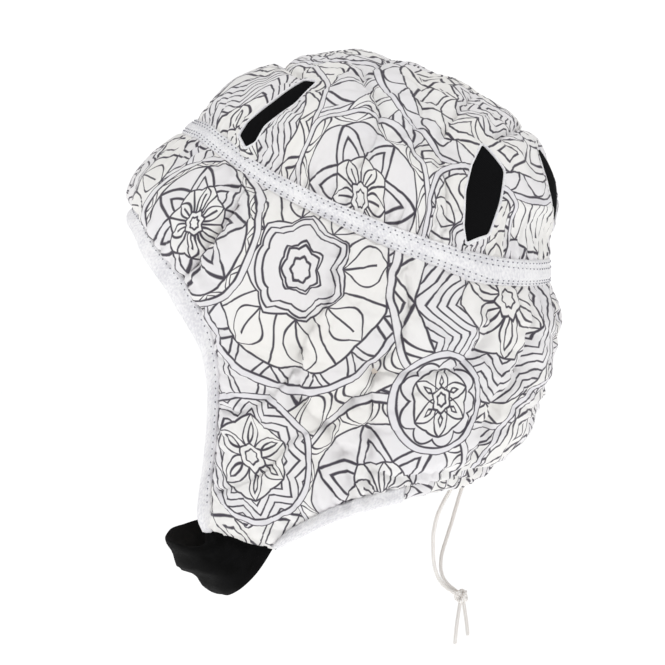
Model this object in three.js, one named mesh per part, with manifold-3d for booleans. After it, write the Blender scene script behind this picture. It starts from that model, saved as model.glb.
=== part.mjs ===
// A padded scrum cap in millimetres: a quilted crown in two halves over a brim band, a forehead pad and
// two side panels with ear flaps, bound edges, five vents backed with net, a soft chin strap, and a drawcord
// that leaves its gathered channel at the nape. +Z is up, -Y is the wearer's face and +X their left.
// The origin is the inside of the crown's top, where the cap sits on a head.
import * as THREE from "three";
import { mergeVertices } from "three/addons/utils/BufferGeometryUtils.js";
import Module from "manifold-3d";

const wasm = await Module();
wasm.setup();

// Driving sizes of the head inside the cap
const DOME = 94; // from the widest level up to the inside of the crown
const FRONT = 106; // from the middle of the head to the forehead
const BACK_FULLNESS = 0.5; // how much squarer than an ellipse the back of the crown is
const LEVEL_MM = 160; // drop below the widest level for each whole level
const WIDTHS = [
  { drop: 0, side: 75, back: 92 },
  { drop: 20, side: 74.5, back: 91.5 },
  { drop: 40, side: 71.5, back: 89 },
  { drop: 60, side: 67.5, back: 84 },
  { drop: 75, side: 64.5, back: 77 },
  { drop: 90, side: 62, back: 63.5 },
  { drop: 105, side: 59.5, back: 46.5 },
  { drop: 125, side: 57, back: 38 },
  { drop: 150, side: 55, back: 34 },
];

// Driving sizes of the cap
const PAD = 9.5; // thickest foam
const SEAM = 3.5; // cloth and foam pressed flat at a seam
const CREASE_WIDTH = 12; // how far a seam pulls the foam down on each side
const GAP = 0.3; // left between neighbouring pieces
const VENT_HEM = 3; // pressed flat round each vent
const BAND_WIDTH = 9.5;
const BAND_THICKNESS = 4.4;
const BAND_EDGE_FALL = 0.4; // how much thinner the band is at its two edges
const TRIM_WIDTH = 9; // of the binding and the drawcord channel
const RUFFLE = 1.4; // height of the gathers on the drawcord channel
const NET_DEPTH = 2; // the vent net lies this far above the inside of the wall
const NET_THICKNESS = 1.2;
const STRAP_THICKNESS = 3.2;
const CORD_DIAMETER = 1.9;
const KNOT_SIZE = 7;

// Heights of the edge trims over the inside surface, for each share of their width
const BINDING = [
  { share: 0, outer: 4.3, inner: -0.4 },
  { share: 0.5, outer: 6.5, inner: -0.8 },
  { share: 1, outer: 5, inner: 0.3 },
];
const CHANNEL = [
  { share: 0, outer: 4, inner: -0.3 },
  { share: 0.5, outer: 6.5, inner: -0.8 },
  { share: 1, outer: 4.5, inner: 0.8 },
];

// Grid sizes. The inside is smooth, so its grid is coarser.
const BAND_COLUMNS = 84;
const CROWN_ROWS = 14;
const FOREHEAD_ROWS = 7;
const SIDE_ROWS = 12;
const INSIDE_ROWS = 6;
const INSIDE_THINNING = 3; // columns of the outside for one of the inside
const STEP = 6.5; // longest step along the edge of a panel or vent
const LINE_SAMPLES = 16; // for the length of a line of places
const TURN_STEP = 0.05; // the small moves that give the wall's slopes
const LEVEL_STEP = 0.002;
const TOP_LEVEL = 0.01; // above this the wall is taken as flat
const MITRE_LIMIT = 0.5; // keeps a sharp corner of a vent from moving too far
const CUTTER_REACH = 4; // how far the vent cutters stand out of the wall
const BLADE_IN = 0.85; // the blade that parts the crown, as a share of the way out from the head's middle
const BLADE_OUT = 1.3;
const SAME_POINT = 1e-6;
const MERGE_DISTANCE = 1e-4;

// A place on the head is a turn and a level. The turn is in degrees from the brow (0) by the
// wearer's left (90) to the back (180), and negative on their right. The level is 0 at the top of
// the crown, 1 at the widest level and more than 1 below it.
const BAND = [
  { turn: 0, level: 0.5 },
  { turn: 15, level: 0.51 },
  { turn: 30, level: 0.54 },
  { turn: 52, level: 0.62 },
  { turn: 64, level: 0.69 },
  { turn: 83, level: 0.79 },
  { turn: 100, level: 0.86 },
  { turn: 115, level: 0.91 },
  { turn: 130, level: 0.95 },
  { turn: 145, level: 0.98 },
  { turn: 180, level: 1 },
];

// The panels' lower edge, for each turn at the band that a line down the panel starts from
const FACE_EDGE = [
  { from: 0, turn: 0, level: 0.85 },
  { from: 15, turn: 9.5, level: 0.86 },
  { from: 30, turn: 19, level: 0.893 },
  { from: 42, turn: 26, level: 0.957 },
  { from: 52, turn: 31.5, level: 1.005 },
  { from: 61, turn: 36.5, level: 1.055 },
  { from: 64, turn: 39, level: 1.09 },
  { from: 67, turn: 43, level: 1.14 },
  { from: 70, turn: 46.5, level: 1.2 },
  { from: 72.5, turn: 47.5, level: 1.26 },
  { from: 75, turn: 47.3, level: 1.33 },
  { from: 77.5, turn: 45.5, level: 1.41 },
  { from: 80, turn: 43, level: 1.5 },
  { from: 82, turn: 40.5, level: 1.58 },
  { from: 84, turn: 38.2, level: 1.65 },
  { from: 86, turn: 37, level: 1.71 },
  { from: 88, turn: 38, level: 1.755 },
];
const FLAP_END = [
  { from: 88, turn: 38, level: 1.755 },
  { from: 96, turn: 66, level: 1.79 },
];
const NECK_EDGE = [
  { from: 96, turn: 66, level: 1.79 },
  { from: 101, turn: 74, level: 1.762 },
  { from: 107, turn: 83, level: 1.73 },
  { from: 113, turn: 91, level: 1.704 },
  { from: 120, turn: 100, level: 1.68 },
  { from: 128, turn: 110, level: 1.66 },
  { from: 137, turn: 121, level: 1.642 },
  { from: 147, turn: 134, level: 1.63 },
  { from: 157, turn: 147, level: 1.622 },
  { from: 168, turn: 163, level: 1.628 },
  { from: 180, turn: 180, level: 1.63 },
];
const TEMPLE = 61; // the forehead pad ends and the side panels start here
const FLAP_FRONT = 88;
const FLAP_BACK = 96;
const CHANNEL_START = 137; // the neck binding ends and the drawcord channel starts here
const CORNER_TAPER = 5; // degrees over which a binding runs out at the flap's corner
const TAPERED_WIDTH = 1.2;
const SEAM_TURN = 0.15; // half the gap between pieces that meet at a seam, in degrees at the band

// Creases between the foam blocks on the wearer's left, which the right side mirrors
const CREASES = [
  {
    name: "temple",
    depth: 1,
    places: [[61, 0.67], [60, 0.79], [59, 0.85], [54, 0.92], [46, 0.97], [39, 1.05]],
  },
  {
    name: "ear",
    depth: 0.7,
    places: [[97, 0.86], [94, 1.03], [85, 1.16], [78, 1.27], [62, 1.37], [50, 1.38]],
  },
  {
    name: "ear front",
    depth: 0.5,
    places: [[83, 1.21], [82, 1.34], [90, 1.41], [97, 1.49], [102, 1.66]],
  },
  {
    name: "behind ear",
    depth: 1,
    places: [[118, 0.92], [118, 1], [119, 1.07]],
  },
  {
    name: "behind ear low",
    depth: 0.6,
    places: [[119, 1.07], [115, 1.18], [108, 1.26], [108, 1.54], [106, 1.66]],
  },
  {
    name: "flap",
    depth: 0.5,
    places: [[108, 1.26], [101, 1.33], [90, 1.41], [78, 1.45], [65, 1.55], [47, 1.62]],
  },
  {
    name: "nape",
    depth: 0.8,
    places: [[140, 0.97], [145, 1.13], [135, 1.24], [125, 1.25], [108, 1.26]],
  },
  {
    name: "nape side",
    depth: 0.7,
    places: [[165, 1], [157, 1.26], [152, 1.35], [149, 1.44], [150, 1.6]],
  },
  {
    name: "nape fold",
    depth: 0.9,
    places: [[109, 1.54], [119, 1.56], [131, 1.55], [150, 1.55], [180, 1.54]],
  },
  {
    name: "nape back",
    depth: 0.8,
    places: [[157, 1.26], [180, 1.27]],
  },
  {
    name: "crown front",
    depth: 0.9,
    places: [[0, 0.17], [49, 0.24], [70, 0.31]],
  },
  {
    name: "crown middle",
    depth: 0.9,
    places: [[180, 0.05], [113, 0.24], [113, 0.44], [110, 0.59], [98, 0.76], [96, 0.85]],
  },
  {
    name: "crown link",
    depth: 0.7,
    places: [[110, 0.59], [124, 0.63]],
  },
  {
    name: "crown back",
    depth: 0.9,
    places: [[180, 0.22], [147, 0.29], [131, 0.49], [124, 0.63], [132, 0.69], [131, 0.93]],
  },
  {
    name: "crown rear",
    depth: 0.8,
    places: [[180, 0.38], [164, 0.41], [140, 0.55], [132, 0.69]],
  },
  {
    name: "crown low",
    depth: 0.8,
    places: [[180, 0.57], [157, 0.61], [149, 0.63]],
  },
];

// Outlines of the vents, in order round each
const VENTS = [
  {
    name: "front",
    mirrored: true,
    outline: [
      [55, 0.57], [60, 0.62], [63, 0.59], [64, 0.53], [74, 0.44],
      [79, 0.33], [70, 0.32], [59, 0.43], [55, 0.52],
    ],
  },
  {
    name: "back",
    mirrored: true,
    outline: [
      [148, 0.63], [152, 0.72], [147, 0.82], [143, 0.9],
      [135, 0.91], [135, 0.87], [137, 0.75], [141, 0.69],
    ],
  },
  {
    name: "centre",
    mirrored: false,
    outline: [
      [174, 0.67], [171, 0.74], [171, 0.8], [174, 0.86], [180, 0.91],
      [186, 0.86], [189, 0.8], [189, 0.74], [186, 0.67],
    ],
  },
];

// Edges of the chin strap on the left, from just below the flap to the middle of the chin
const STRAP = [
  { front: [52.6, -60, -124], back: [56.5, -30, -138] },
  { front: [50, -67, -125], back: [54, -36, -146] },
  { front: [42, -75, -125.5], back: [46, -43, -150] },
  { front: [31, -82, -126], back: [31, -52.5, -154.5] },
  { front: [18, -87, -128], back: [15, -59, -156.5] },
  { front: [0, -89, -131], back: [0, -61.5, -157.5] },
];
const STRAP_STEPS = 2; // grid columns between two rows of the table
const STRAP_ROWS = 4;
const STRAP_TENSION = 0.5;
const STRAP_CUP = 2.5; // how far the strap's middle bulges out
const STRAP_DROP = 1; // room for the slanted lower edge of the flap

// The drawcord's route: two strands meet below the nape, run side by side to the knot and end free
const STRAND_LEFT = [
  [17, 50.6, -103.6], [16.6, 48.6, -107.4], [15.6, 46.2, -112.2], [14.4, 44, -116.8], [13, 42.3, -120.9],
  [11.8, 40.9, -124.8], [10.5, 39.9, -128.3], [9.4, 39.4, -131.2], [8.2, 39.4, -134.4], [6.5, 40.1, -138.3],
  [4.6, 41, -142.6], [2.9, 42.6, -146.9], [1.8, 44.9, -150.2], [1.3, 47.6, -152.7], [1.2, 51.2, -155],
];
const STRAND_RIGHT = [
  [-17, 50.6, -103.6], [-16.6, 49.6, -107.4], [-15.7, 48.6, -111.3], [-14.5, 47.7, -115], [-13, 46.9, -118.7],
  [-11.6, 46.1, -122.6], [-9.8, 45.4, -127.4], [-8, 44.9, -131.2], [-6.2, 44.5, -134.8], [-4.4, 44.2, -138.4],
  [-2.7, 44.1, -141.8], [-1.6, 44.4, -145], [-1.2, 45.6, -148.4], [-1.2, 48, -151.6], [-1.2, 51.4, -154.3],
];
const KNOT_CENTRE = [0, 54.6, -156.6];
const TAIL_LEFT = [
  [1.2, 54, -160.3], [1.5, 53.4, -164.5], [1.8, 52.8, -169], [1.7, 52.2, -174], [1.4, 51.7, -179.4],
];
const TAIL_RIGHT = [
  [-1.2, 55.4, -160.3], [-1.5, 56, -164], [-1.6, 56.6, -167.8], [-1.5, 57.1, -171.6], [-1.2, 57.5, -175.4],
];
const CORD_STEP = 3; // tube steps, in cord diameters
const CORD_SIDES = 8;
const KNOT_SIDES = 10;
const KNOT_RINGS = 8;

const radians = THREE.MathUtils.degToRad;
const lerp = THREE.MathUtils.lerp;

// The column y of a table at x, on a smooth curve through its rows
function read(rows, x, y, at) {
  const last = rows.length - 1;
  const found = rows.findIndex((row, i) => i < last && at <= rows[i + 1][x]);
  const i = found < 0 ? last - 1 : found;
  const slope = (k) => {
    const a = rows[Math.max(k - 1, 0)];
    const b = rows[Math.min(k + 1, last)];
    return (b[y] - a[y]) / (b[x] - a[x]);
  };
  const span = rows[i + 1][x] - rows[i][x];
  const t = THREE.MathUtils.clamp((at - rows[i][x]) / span, 0, 1);
  const t2 = t * t;
  const t3 = t2 * t;
  return (
    (2 * t3 - 3 * t2 + 1) * rows[i][y] +
    (t3 - 2 * t2 + t) * slope(i) * span +
    (3 * t2 - 2 * t3) * rows[i + 1][y] +
    (t3 - t2) * slope(i + 1) * span
  );
}

// The point of the inside surface at a place
function insidePoint(turn, level) {
  const c = Math.cos(radians(turn));
  const s = Math.sin(radians(turn));
  const drop = Math.max(0, level - 1) * LEVEL_MM;
  const side = read(WIDTHS, "drop", "side", drop);
  const back = read(WIDTHS, "drop", "back", drop);
  const reach = 1 / Math.hypot(c / (c > 0 ? FRONT : back), s / side);
  if (level >= 1) return new THREE.Vector3(reach * s, -reach * c, -drop);
  const tilt = (Math.PI / 2) * (1 - level);
  const power = 2 / (2 + BACK_FULLNESS * (0.5 - 0.5 * c));
  const flat = Math.max(Math.cos(tilt), 0) ** power;
  return new THREE.Vector3(reach * s * flat, -reach * c * flat, DOME * Math.sin(tilt) ** power);
}

// A point of the wall: the inside surface moved out along its normal
function wallPoint(turn, level, out) {
  const here = insidePoint(turn, level);
  if (level < TOP_LEVEL) return here.setZ(here.z + out);
  const round = insidePoint(turn + TURN_STEP, level).sub(insidePoint(turn - TURN_STEP, level));
  const down = insidePoint(turn, level + LEVEL_STEP).sub(insidePoint(turn, level - LEVEL_STEP));
  return here.addScaledVector(down.cross(round).normalize(), out);
}

// Where a line down the panels ends
function lowerEdge(from) {
  const f = Math.abs(from);
  const rows = f <= FLAP_FRONT ? FACE_EDGE : f <= FLAP_BACK ? FLAP_END : NECK_EDGE;
  return { turn: Math.sign(from) * read(rows, "from", "turn", f), level: read(rows, "from", "level", f) };
}

// The place a share of the way from the band to the lower edge: the line leaves the band straight
// down and then sweeps forward to the face
function sidePlace(from, share) {
  const edge = lowerEdge(from);
  const start = read(BAND, "turn", "level", Math.abs(from));
  return { turn: lerp(from, edge.turn, share * share), level: lerp(start, edge.level, share) };
}

function crownPlace(from, share) {
  return { turn: from, level: read(BAND, "turn", "level", Math.abs(from)) * (1 - share) };
}

// The length of a line of places over the inside surface
function lineLength(placeAt, from) {
  let length = 0;
  let before = null;
  for (let i = 0; i <= LINE_SAMPLES; i++) {
    const place = placeAt(from, i / LINE_SAMPLES);
    const point = insidePoint(place.turn, place.level);
    if (before) length += point.distanceTo(before);
    before = point;
  }
  return length;
}

// 0 at a seam, rising fast and then slowly to 1 at the given distance from it
function swell(distance, width) {
  const x = THREE.MathUtils.clamp(distance / width, 0, 1);
  return Math.sqrt(1 - (1 - x) ** 2);
}

const mirrorPlace = ([turn, level]) => [-turn, level];
const creaseLines = CREASES.map(({ depth, places }) => ({
  depth,
  points: places.map(([turn, level]) => insidePoint(turn, level)),
}));
const ventOutlines = VENTS.flatMap(({ name, mirrored, outline }) =>
  mirrored
    ? [
        { name: name + "_left", outline },
        { name: name + "_right", outline: outline.map(mirrorPlace).reverse() },
      ]
    : [{ name, outline }],
);
const middleOf = (outline) => [0, 1].map((k) => outline.reduce((sum, p) => sum + p[k], 0) / outline.length);

// Round each vent's outline, with a spoke from each corner to the middle, so that all of the
// opening counts as a seam
const ventLines = ventOutlines.map(({ outline }) => ({
  points: [...outline, outline[0]]
    .flatMap((corner) => [corner, middleOf(outline), corner])
    .map(([turn, level]) => insidePoint(turn, level)),
}));

function distanceToLine(point, points) {
  const nearest = new THREE.Vector3();
  let best = Infinity;
  for (let i = 0; i + 1 < points.length; i++) {
    new THREE.Line3(points[i], points[i + 1]).closestPointToPoint(point, true, nearest);
    best = Math.min(best, nearest.distanceTo(point));
  }
  return best;
}

// The padding's thickness at a point of the inside surface, toEdge from the nearest bound edge
function padding(point, toEdge) {
  const left = new THREE.Vector3(Math.abs(point.x), point.y, point.z);
  let full = swell(toEdge, CREASE_WIDTH);
  for (const { depth, points } of creaseLines)
    full = Math.min(full, 1 - depth * (1 - swell(distanceToLine(left, points), CREASE_WIDTH)));
  for (const { points } of ventLines)
    full = Math.min(full, swell(distanceToLine(point, points) - VENT_HEM, CREASE_WIDTH));
  return lerp(SEAM, PAD, full);
}

// A closed geometry from triangles given as three points each
function fromTriangles(triangles) {
  const solid = triangles.filter(
    ([a, b, c]) => Math.min(a.distanceTo(b), b.distanceTo(c), c.distanceTo(a)) > SAME_POINT,
  );
  const numbers = solid.flatMap((corners) => corners.flatMap((p) => [p.x, p.y, p.z]));
  return new THREE.BufferGeometry().setAttribute("position", new THREE.Float32BufferAttribute(numbers, 3));
}

const quad = (a, b, c, d) => [[a, b, c], [a, c, d]];

// Triangles between an upper and a lower row of points, which may differ in number. A round row
// closes on its first point.
function strip(upper, lower, round) {
  const ends = [upper, lower].map((row) => (round ? row.length : row.length - 1));
  const at = (row, k) => row[k % row.length];
  const triangles = [];
  let i = 0;
  let j = 0;
  while (i < ends[0] || j < ends[1]) {
    const upperNext = i < ends[0] && (j >= ends[1] || (i + 0.5) / ends[0] <= (j + 0.5) / ends[1]);
    if (upperNext) {
      triangles.push([at(upper, i), at(lower, j), at(upper, i + 1)]);
      i++;
    } else {
      triangles.push([at(upper, i), at(lower, j), at(lower, j + 1)]);
      j++;
    }
  }
  return triangles;
}

const flipped = (triangles) => triangles.map(([a, b, c]) => [a, c, b]);
const rowStrips = (rows, round) => rows.slice(1).flatMap((row, i) => strip(rows[i], row, round));

// The solid between an outer and an inner list of rows of points. Rows run down and their points
// run to the wearer's left; round says that each row closes on its first point.
function slab(outer, inner, round) {
  const triangles = [
    ...rowStrips(outer, round),
    ...flipped(rowStrips(inner, round)),
    ...strip(inner[0], outer[0], round),
    ...strip(outer.at(-1), inner.at(-1), round),
  ];
  if (!round) {
    const side = (rows, k) => rows.map((row) => row.at(k));
    triangles.push(...strip(side(outer, 0), side(inner, 0), false));
    triangles.push(...strip(side(inner, -1), side(outer, -1), false));
  }
  return fromTriangles(triangles);
}

const thinned = (columns) =>
  columns.filter((_, j) => j % INSIDE_THINNING === 0 || j === columns.length - 1);

// Rows of points over the wall: pointAt gives the point of a column at a share of the way down
function wallRows(count, columnsAt, pointAt) {
  return Array.from({ length: count + 1 }, (_, i) => {
    const share = i / count;
    return columnsAt(share).map((from) => pointAt(from, share));
  });
}

// Turns at the band between two turns, with extra columns where the lower edge is long
function sideColumns(start, end) {
  const knots = [...FACE_EDGE, ...FLAP_END, ...NECK_EDGE].map((row) => row.from);
  const inside = [...new Set(knots)].filter((from) => from > start && from < end);
  const stops = [start, ...inside, end];
  const columns = [start];
  for (let i = 0; i + 1 < stops.length; i++) {
    const [a, b] = [stops[i], stops[i + 1]];
    const reach = [0, 1].map((share) => {
      const p = sidePlace(a, share);
      const q = sidePlace(b, share);
      return insidePoint(p.turn, p.level).distanceTo(insidePoint(q.turn, q.level));
    });
    const steps = Math.ceil(Math.max(...reach) / STEP);
    for (let k = 1; k <= steps; k++) columns.push(lerp(a, b, k / steps));
  }
  return columns;
}

const mirrorColumns = (columns) => columns.map((from) => -from).reverse();

// Width of the binding or channel along the lower edge
function trimWidth(from) {
  const f = Math.abs(from);
  const toCorner = f <= FLAP_FRONT ? FLAP_FRONT - f : f - FLAP_BACK;
  const full = THREE.MathUtils.clamp(toCorner / CORNER_TAPER, 0, 1);
  return f > FLAP_FRONT && f < FLAP_BACK ? 0 : lerp(TAPERED_WIDTH, TRIM_WIDTH, full);
}

// A panel below the band
function sidePanel(columns, rows) {
  const pointAt = (outside) => (from, share) => {
    const length = lineLength(sidePlace, from);
    const top = BAND_WIDTH / 2 + GAP;
    const bottom = length - trimWidth(from) - GAP;
    const along = lerp(top, bottom, share);
    const { turn, level } = sidePlace(from, along / length);
    const toEdge = Math.min(along - top, bottom - along);
    return wallPoint(turn, level, outside ? padding(insidePoint(turn, level), toEdge) : 0);
  };
  const insideColumns = (share) => (share === 0 || share === 1 ? columns : thinned(columns));
  const outer = wallRows(rows, () => columns, pointAt(true));
  const inner = wallRows(INSIDE_ROWS, insideColumns, pointAt(false));
  return slab(outer, inner, false);
}

// A strip along the lower edge, from a table of its heights
function edgeStrip(columns, heights, extra = () => 0) {
  const grid = (key) =>
    heights.map((row, i) =>
      columns.map((from, j) => {
        const length = lineLength(sidePlace, from);
        const along = length - trimWidth(from) * (1 - row.share);
        const place = sidePlace(from, along / length);
        return wallPoint(place.turn, place.level, row[key] + (key === "outer" ? extra(i, j) : 0));
      }),
    );
  return slab(grid("outer"), grid("inner"), false);
}

// The tape over the seam between the crown and the panels
function brimBand(columns) {
  const shares = [-1, 0, 1];
  const rise = (share) => BAND_THICKNESS - BAND_EDGE_FALL * Math.abs(share);
  const grid = (outside) =>
    shares.map((share) =>
      columns.map((from) => {
        const placeAt = share < 0 ? crownPlace : sidePlace;
        const along = (Math.abs(share) * BAND_WIDTH) / 2 / lineLength(placeAt, from);
        const place = placeAt(from, along);
        return wallPoint(place.turn, place.level, outside ? rise(share) : 0);
      }),
    );
  return slab(grid(true), grid(false), true);
}

// Evenly spaced turns round the cap, fewer near the crown's top
function ringColumns(share) {
  const quarter = Math.max(2, Math.round((BAND_COLUMNS / 4) * Math.sin((Math.PI / 2) * share)));
  const count = share === 0 ? 1 : 4 * quarter;
  return Array.from({ length: count }, (_, i) => (360 * i) / count - 180);
}

// The crown before its vents are cut
function crownShell() {
  const pointAt = (outside) => (from, share) => {
    const length = lineLength(crownPlace, from);
    const bottom = BAND_WIDTH / 2 + GAP;
    const along = lerp(length, bottom, share);
    const { turn, level } = crownPlace(from, along / length);
    const out = outside ? padding(insidePoint(turn, level), along - bottom) : 0;
    return wallPoint(turn, level, out);
  };
  const insideColumns = (share) => (share < 1 ? thinned(ringColumns(share)) : ringColumns(1));
  const outer = wallRows(CROWN_ROWS, ringColumns, pointAt(true));
  const inner = wallRows(INSIDE_ROWS, insideColumns, pointAt(false));
  return slab(outer, inner, true);
}

// An outline of places with its long sides divided, and moved in by inset mm
function ventRing(outline, inset) {
  const centre = middleOf(outline);
  const scale = [radians(1) * insidePoint(centre[0], centre[1]).setZ(0).length(), LEVEL_MM];
  const flat = outline.map(([turn, level]) => new THREE.Vector2(turn * scale[0], level * scale[1]));
  const clockwise = THREE.ShapeUtils.isClockWise(flat);
  const count = flat.length;
  const normal = (a, b) => {
    const side = b.clone().sub(a).normalize();
    return clockwise ? new THREE.Vector2(side.y, -side.x) : new THREE.Vector2(-side.y, side.x);
  };
  const moved = flat.map((point, i) => {
    const before = normal(flat[(i + count - 1) % count], point);
    const after = normal(point, flat[(i + 1) % count]);
    const bisector = before.add(after).normalize();
    return point.clone().addScaledVector(bisector, inset / Math.max(MITRE_LIMIT, bisector.dot(after)));
  });
  const ring = moved.flatMap((point, i) => {
    const next = moved[(i + 1) % count];
    const steps = Math.max(1, Math.round(point.distanceTo(next) / STEP));
    return Array.from({ length: steps }, (_, k) => point.clone().lerp(next, k / steps));
  });
  if (clockwise) ring.reverse();
  return ring.map((point) => [point.x / scale[0], point.y / scale[1]]);
}

// The solid over a ring of places between two heights, with its faces fanned from the middle
function ventPrism(ring, low, high) {
  const pointsAt = (height) => ring.map(([turn, level]) => wallPoint(turn, level, height));
  const middle = middleOf(ring);
  const [top, bottom] = [high, low].map(pointsAt);
  const [topMiddle, bottomMiddle] = [high, low].map((height) => wallPoint(...middle, height));
  const triangles = ring.flatMap((_, i) => {
    const k = (i + 1) % ring.length;
    return [
      [top[i], topMiddle, top[k]],
      [bottom[i], bottom[k], bottomMiddle],
      ...quad(top[i], top[k], bottom[k], bottom[i]),
    ];
  });
  return fromTriangles(triangles);
}

function toSolid(geometry) {
  const merged = mergeVertices(geometry, MERGE_DISTANCE);
  return new wasm.Manifold(
    new wasm.Mesh({
      numProp: 3,
      vertProperties: new Float32Array(merged.attributes.position.array),
      triVerts: new Uint32Array(merged.index.array),
    }),
  );
}

function toGeometry(solid) {
  const mesh = solid.getMesh();
  const geometry = new THREE.BufferGeometry();
  geometry.setAttribute("position", new THREE.BufferAttribute(new Float32Array(mesh.vertProperties), 3));
  geometry.setIndex(new THREE.BufferAttribute(new Uint32Array(mesh.triVerts), 1));
  return geometry;
}

// A thin blade through the wall along the crease that parts the crown's front from its back
function crownBlade() {
  const left = CREASES.find(({ name }) => name === "crown middle").places;
  const places = [...left.slice(1).reverse(), ...left.map(mirrorPlace)];
  const line = places.map(([turn, level]) => insidePoint(turn, level));
  const rows = (reach) =>
    [-1, 1].map((side) =>
      line.map((point, i) => {
        const along = line[Math.min(i + 1, line.length - 1)].clone().sub(line[Math.max(i - 1, 0)]);
        const across = along.cross(point).normalize();
        return point.clone().multiplyScalar(reach).addScaledVector(across, (side * GAP) / 2);
      }),
    );
  return slab(rows(BLADE_OUT), rows(BLADE_IN), false);
}

// The crown's front and back, with their vents cut
function crownPanels() {
  const vents = ventOutlines.map(({ outline }) =>
    ventPrism(ventRing(outline, 0), -CUTTER_REACH, PAD + CUTTER_REACH),
  );
  const cut = [...vents, crownBlade()].reduce(
    (crown, cutter) => crown.subtract(toSolid(cutter)),
    toSolid(crownShell()),
  );
  const frontmost = (solid) => solid.boundingBox().min[1];
  return cut.decompose().sort((a, b) => frontmost(a) - frontmost(b)).map(toGeometry);
}

// The middle of the wall at a corner of the flap, lowered by the gap to the strap
function flapCorner(from) {
  const { turn, level } = lowerEdge(from);
  const corner = wallPoint(turn, level, SEAM / 2);
  return [corner.x, corner.y, corner.z - GAP - STRAP_DROP];
}

// The strap's front and back edges, from the left flap to the right one
function strapEdges() {
  const left = [{ front: flapCorner(FLAP_FRONT), back: flapCorner(FLAP_BACK) }, ...STRAP];
  const right = left.slice(0, -1).reverse().map(({ front, back }) => ({
    front: [-front[0], front[1], front[2]],
    back: [-back[0], back[1], back[2]],
  }));
  const rows = [...left, ...right];
  const curve = (key) => {
    const points = rows.map((row) => new THREE.Vector3(...row[key]));
    return new THREE.CatmullRomCurve3(points, false, "catmullrom", STRAP_TENSION);
  };
  const count = (rows.length - 1) * STRAP_STEPS;
  return ["front", "back"].map((key) => curve(key).getPoints(count));
}

function chinStrap() {
  const [front, back] = strapEdges();
  const count = front.length;
  const columns = front.map((f, i) => {
    const b = back[i];
    const before = front[Math.max(i - 1, 0)].clone().add(back[Math.max(i - 1, 0)]);
    const after = front[Math.min(i + 1, count - 1)].clone().add(back[Math.min(i + 1, count - 1)]);
    const out = f.clone().sub(b).cross(after.sub(before)).normalize();
    return { f, b, out };
  });
  const grid = (height) =>
    Array.from({ length: STRAP_ROWS + 1 }, (_, i) =>
      columns.map(({ f, b, out }, j) => {
        const share = i / STRAP_ROWS;
        const free = Math.sin((Math.PI * j) / (count - 1));
        const cup = STRAP_CUP * free * Math.sin(Math.PI * share);
        return b.clone().lerp(f, share).addScaledVector(out, cup + height);
      }),
    );
  return slab(grid(STRAP_THICKNESS / 2), grid(-STRAP_THICKNESS / 2), false);
}

function cord(points) {
  const curve = new THREE.CatmullRomCurve3(points.map((point) => new THREE.Vector3(...point)));
  const section = new THREE.Shape();
  section.absarc(0, 0, CORD_DIAMETER / 2, 0, 2 * Math.PI);
  const steps = Math.ceil(curve.getLength() / (CORD_STEP * CORD_DIAMETER));
  const options = { steps, curveSegments: CORD_SIDES / 2, bevelEnabled: false, extrudePath: curve };
  return new THREE.ExtrudeGeometry(section, options);
}

function knot() {
  return new THREE.SphereGeometry(KNOT_SIZE / 2, KNOT_SIDES, KNOT_RINGS);
}

const cloth = new THREE.MeshStandardMaterial({ color: 0xeeecec, roughness: 0.85 });
const tape = new THREE.MeshStandardMaterial({ color: 0xf2f1f6, roughness: 0.8 });
const net = new THREE.MeshStandardMaterial({ color: 0x060607, roughness: 0.95 });
const strapCloth = new THREE.MeshStandardMaterial({ color: 0x131314, roughness: 0.9 });
const cordYarn = new THREE.MeshStandardMaterial({ color: 0xece8e4, roughness: 0.8 });

const cap = new THREE.Group();
cap.position.z = -DOME;

function place(name, geometry, material, position = [0, 0, 0]) {
  const mesh = new THREE.Mesh(geometry, material);
  mesh.name = name;
  mesh.position.set(...position);
  cap.add(mesh);
}

const [crownFront, crownBack] = crownPanels();
place("crown_front", crownFront, cloth);
place("crown_back", crownBack, cloth);
place("brim_band", brimBand(ringColumns(1)), tape);
for (const { name, outline } of ventOutlines)
  place("vent_net_" + name, ventPrism(ventRing(outline, GAP), NET_DEPTH, NET_DEPTH + NET_THICKNESS), net);

const foreheadHalf = sideColumns(0, TEMPLE - SEAM_TURN);
const foreheadColumns = [...mirrorColumns(foreheadHalf), ...foreheadHalf.slice(1)];
place("forehead_pad", sidePanel(foreheadColumns, FOREHEAD_ROWS), cloth);
const leftColumns = sideColumns(TEMPLE + SEAM_TURN, 180 - SEAM_TURN);
place("side_panel_left", sidePanel(leftColumns, SIDE_ROWS), cloth);
place("side_panel_right", sidePanel(mirrorColumns(leftColumns), SIDE_ROWS), cloth);

const faceHalf = sideColumns(0, FLAP_FRONT);
const faceColumns = [...mirrorColumns(faceHalf), ...faceHalf.slice(1)];
place("face_binding", edgeStrip(faceColumns, BINDING), tape);
const neckColumns = sideColumns(FLAP_BACK, CHANNEL_START - SEAM_TURN);
place("neck_binding_left", edgeStrip(neckColumns, BINDING), tape);
place("neck_binding_right", edgeStrip(mirrorColumns(neckColumns), BINDING), tape);

const channelHalf = sideColumns(CHANNEL_START + SEAM_TURN, 180);
const channelColumns = [...channelHalf, ...mirrorColumns(channelHalf).slice(1)];
const ruffle = (row, column) => (row === 1 && column % 2 ? RUFFLE : 0);
place("drawcord_channel", edgeStrip(channelColumns, CHANNEL, ruffle), cloth);

place("chin_strap", chinStrap(), strapCloth);
place("drawcord_left", cord(STRAND_LEFT), cordYarn);
place("drawcord_right", cord(STRAND_RIGHT), cordYarn);
place("drawcord_knot", knot(), cordYarn, KNOT_CENTRE);
place("drawcord_tail_left", cord(TAIL_LEFT), cordYarn);
place("drawcord_tail_right", cord(TAIL_RIGHT), cordYarn);

export default cap;
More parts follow.
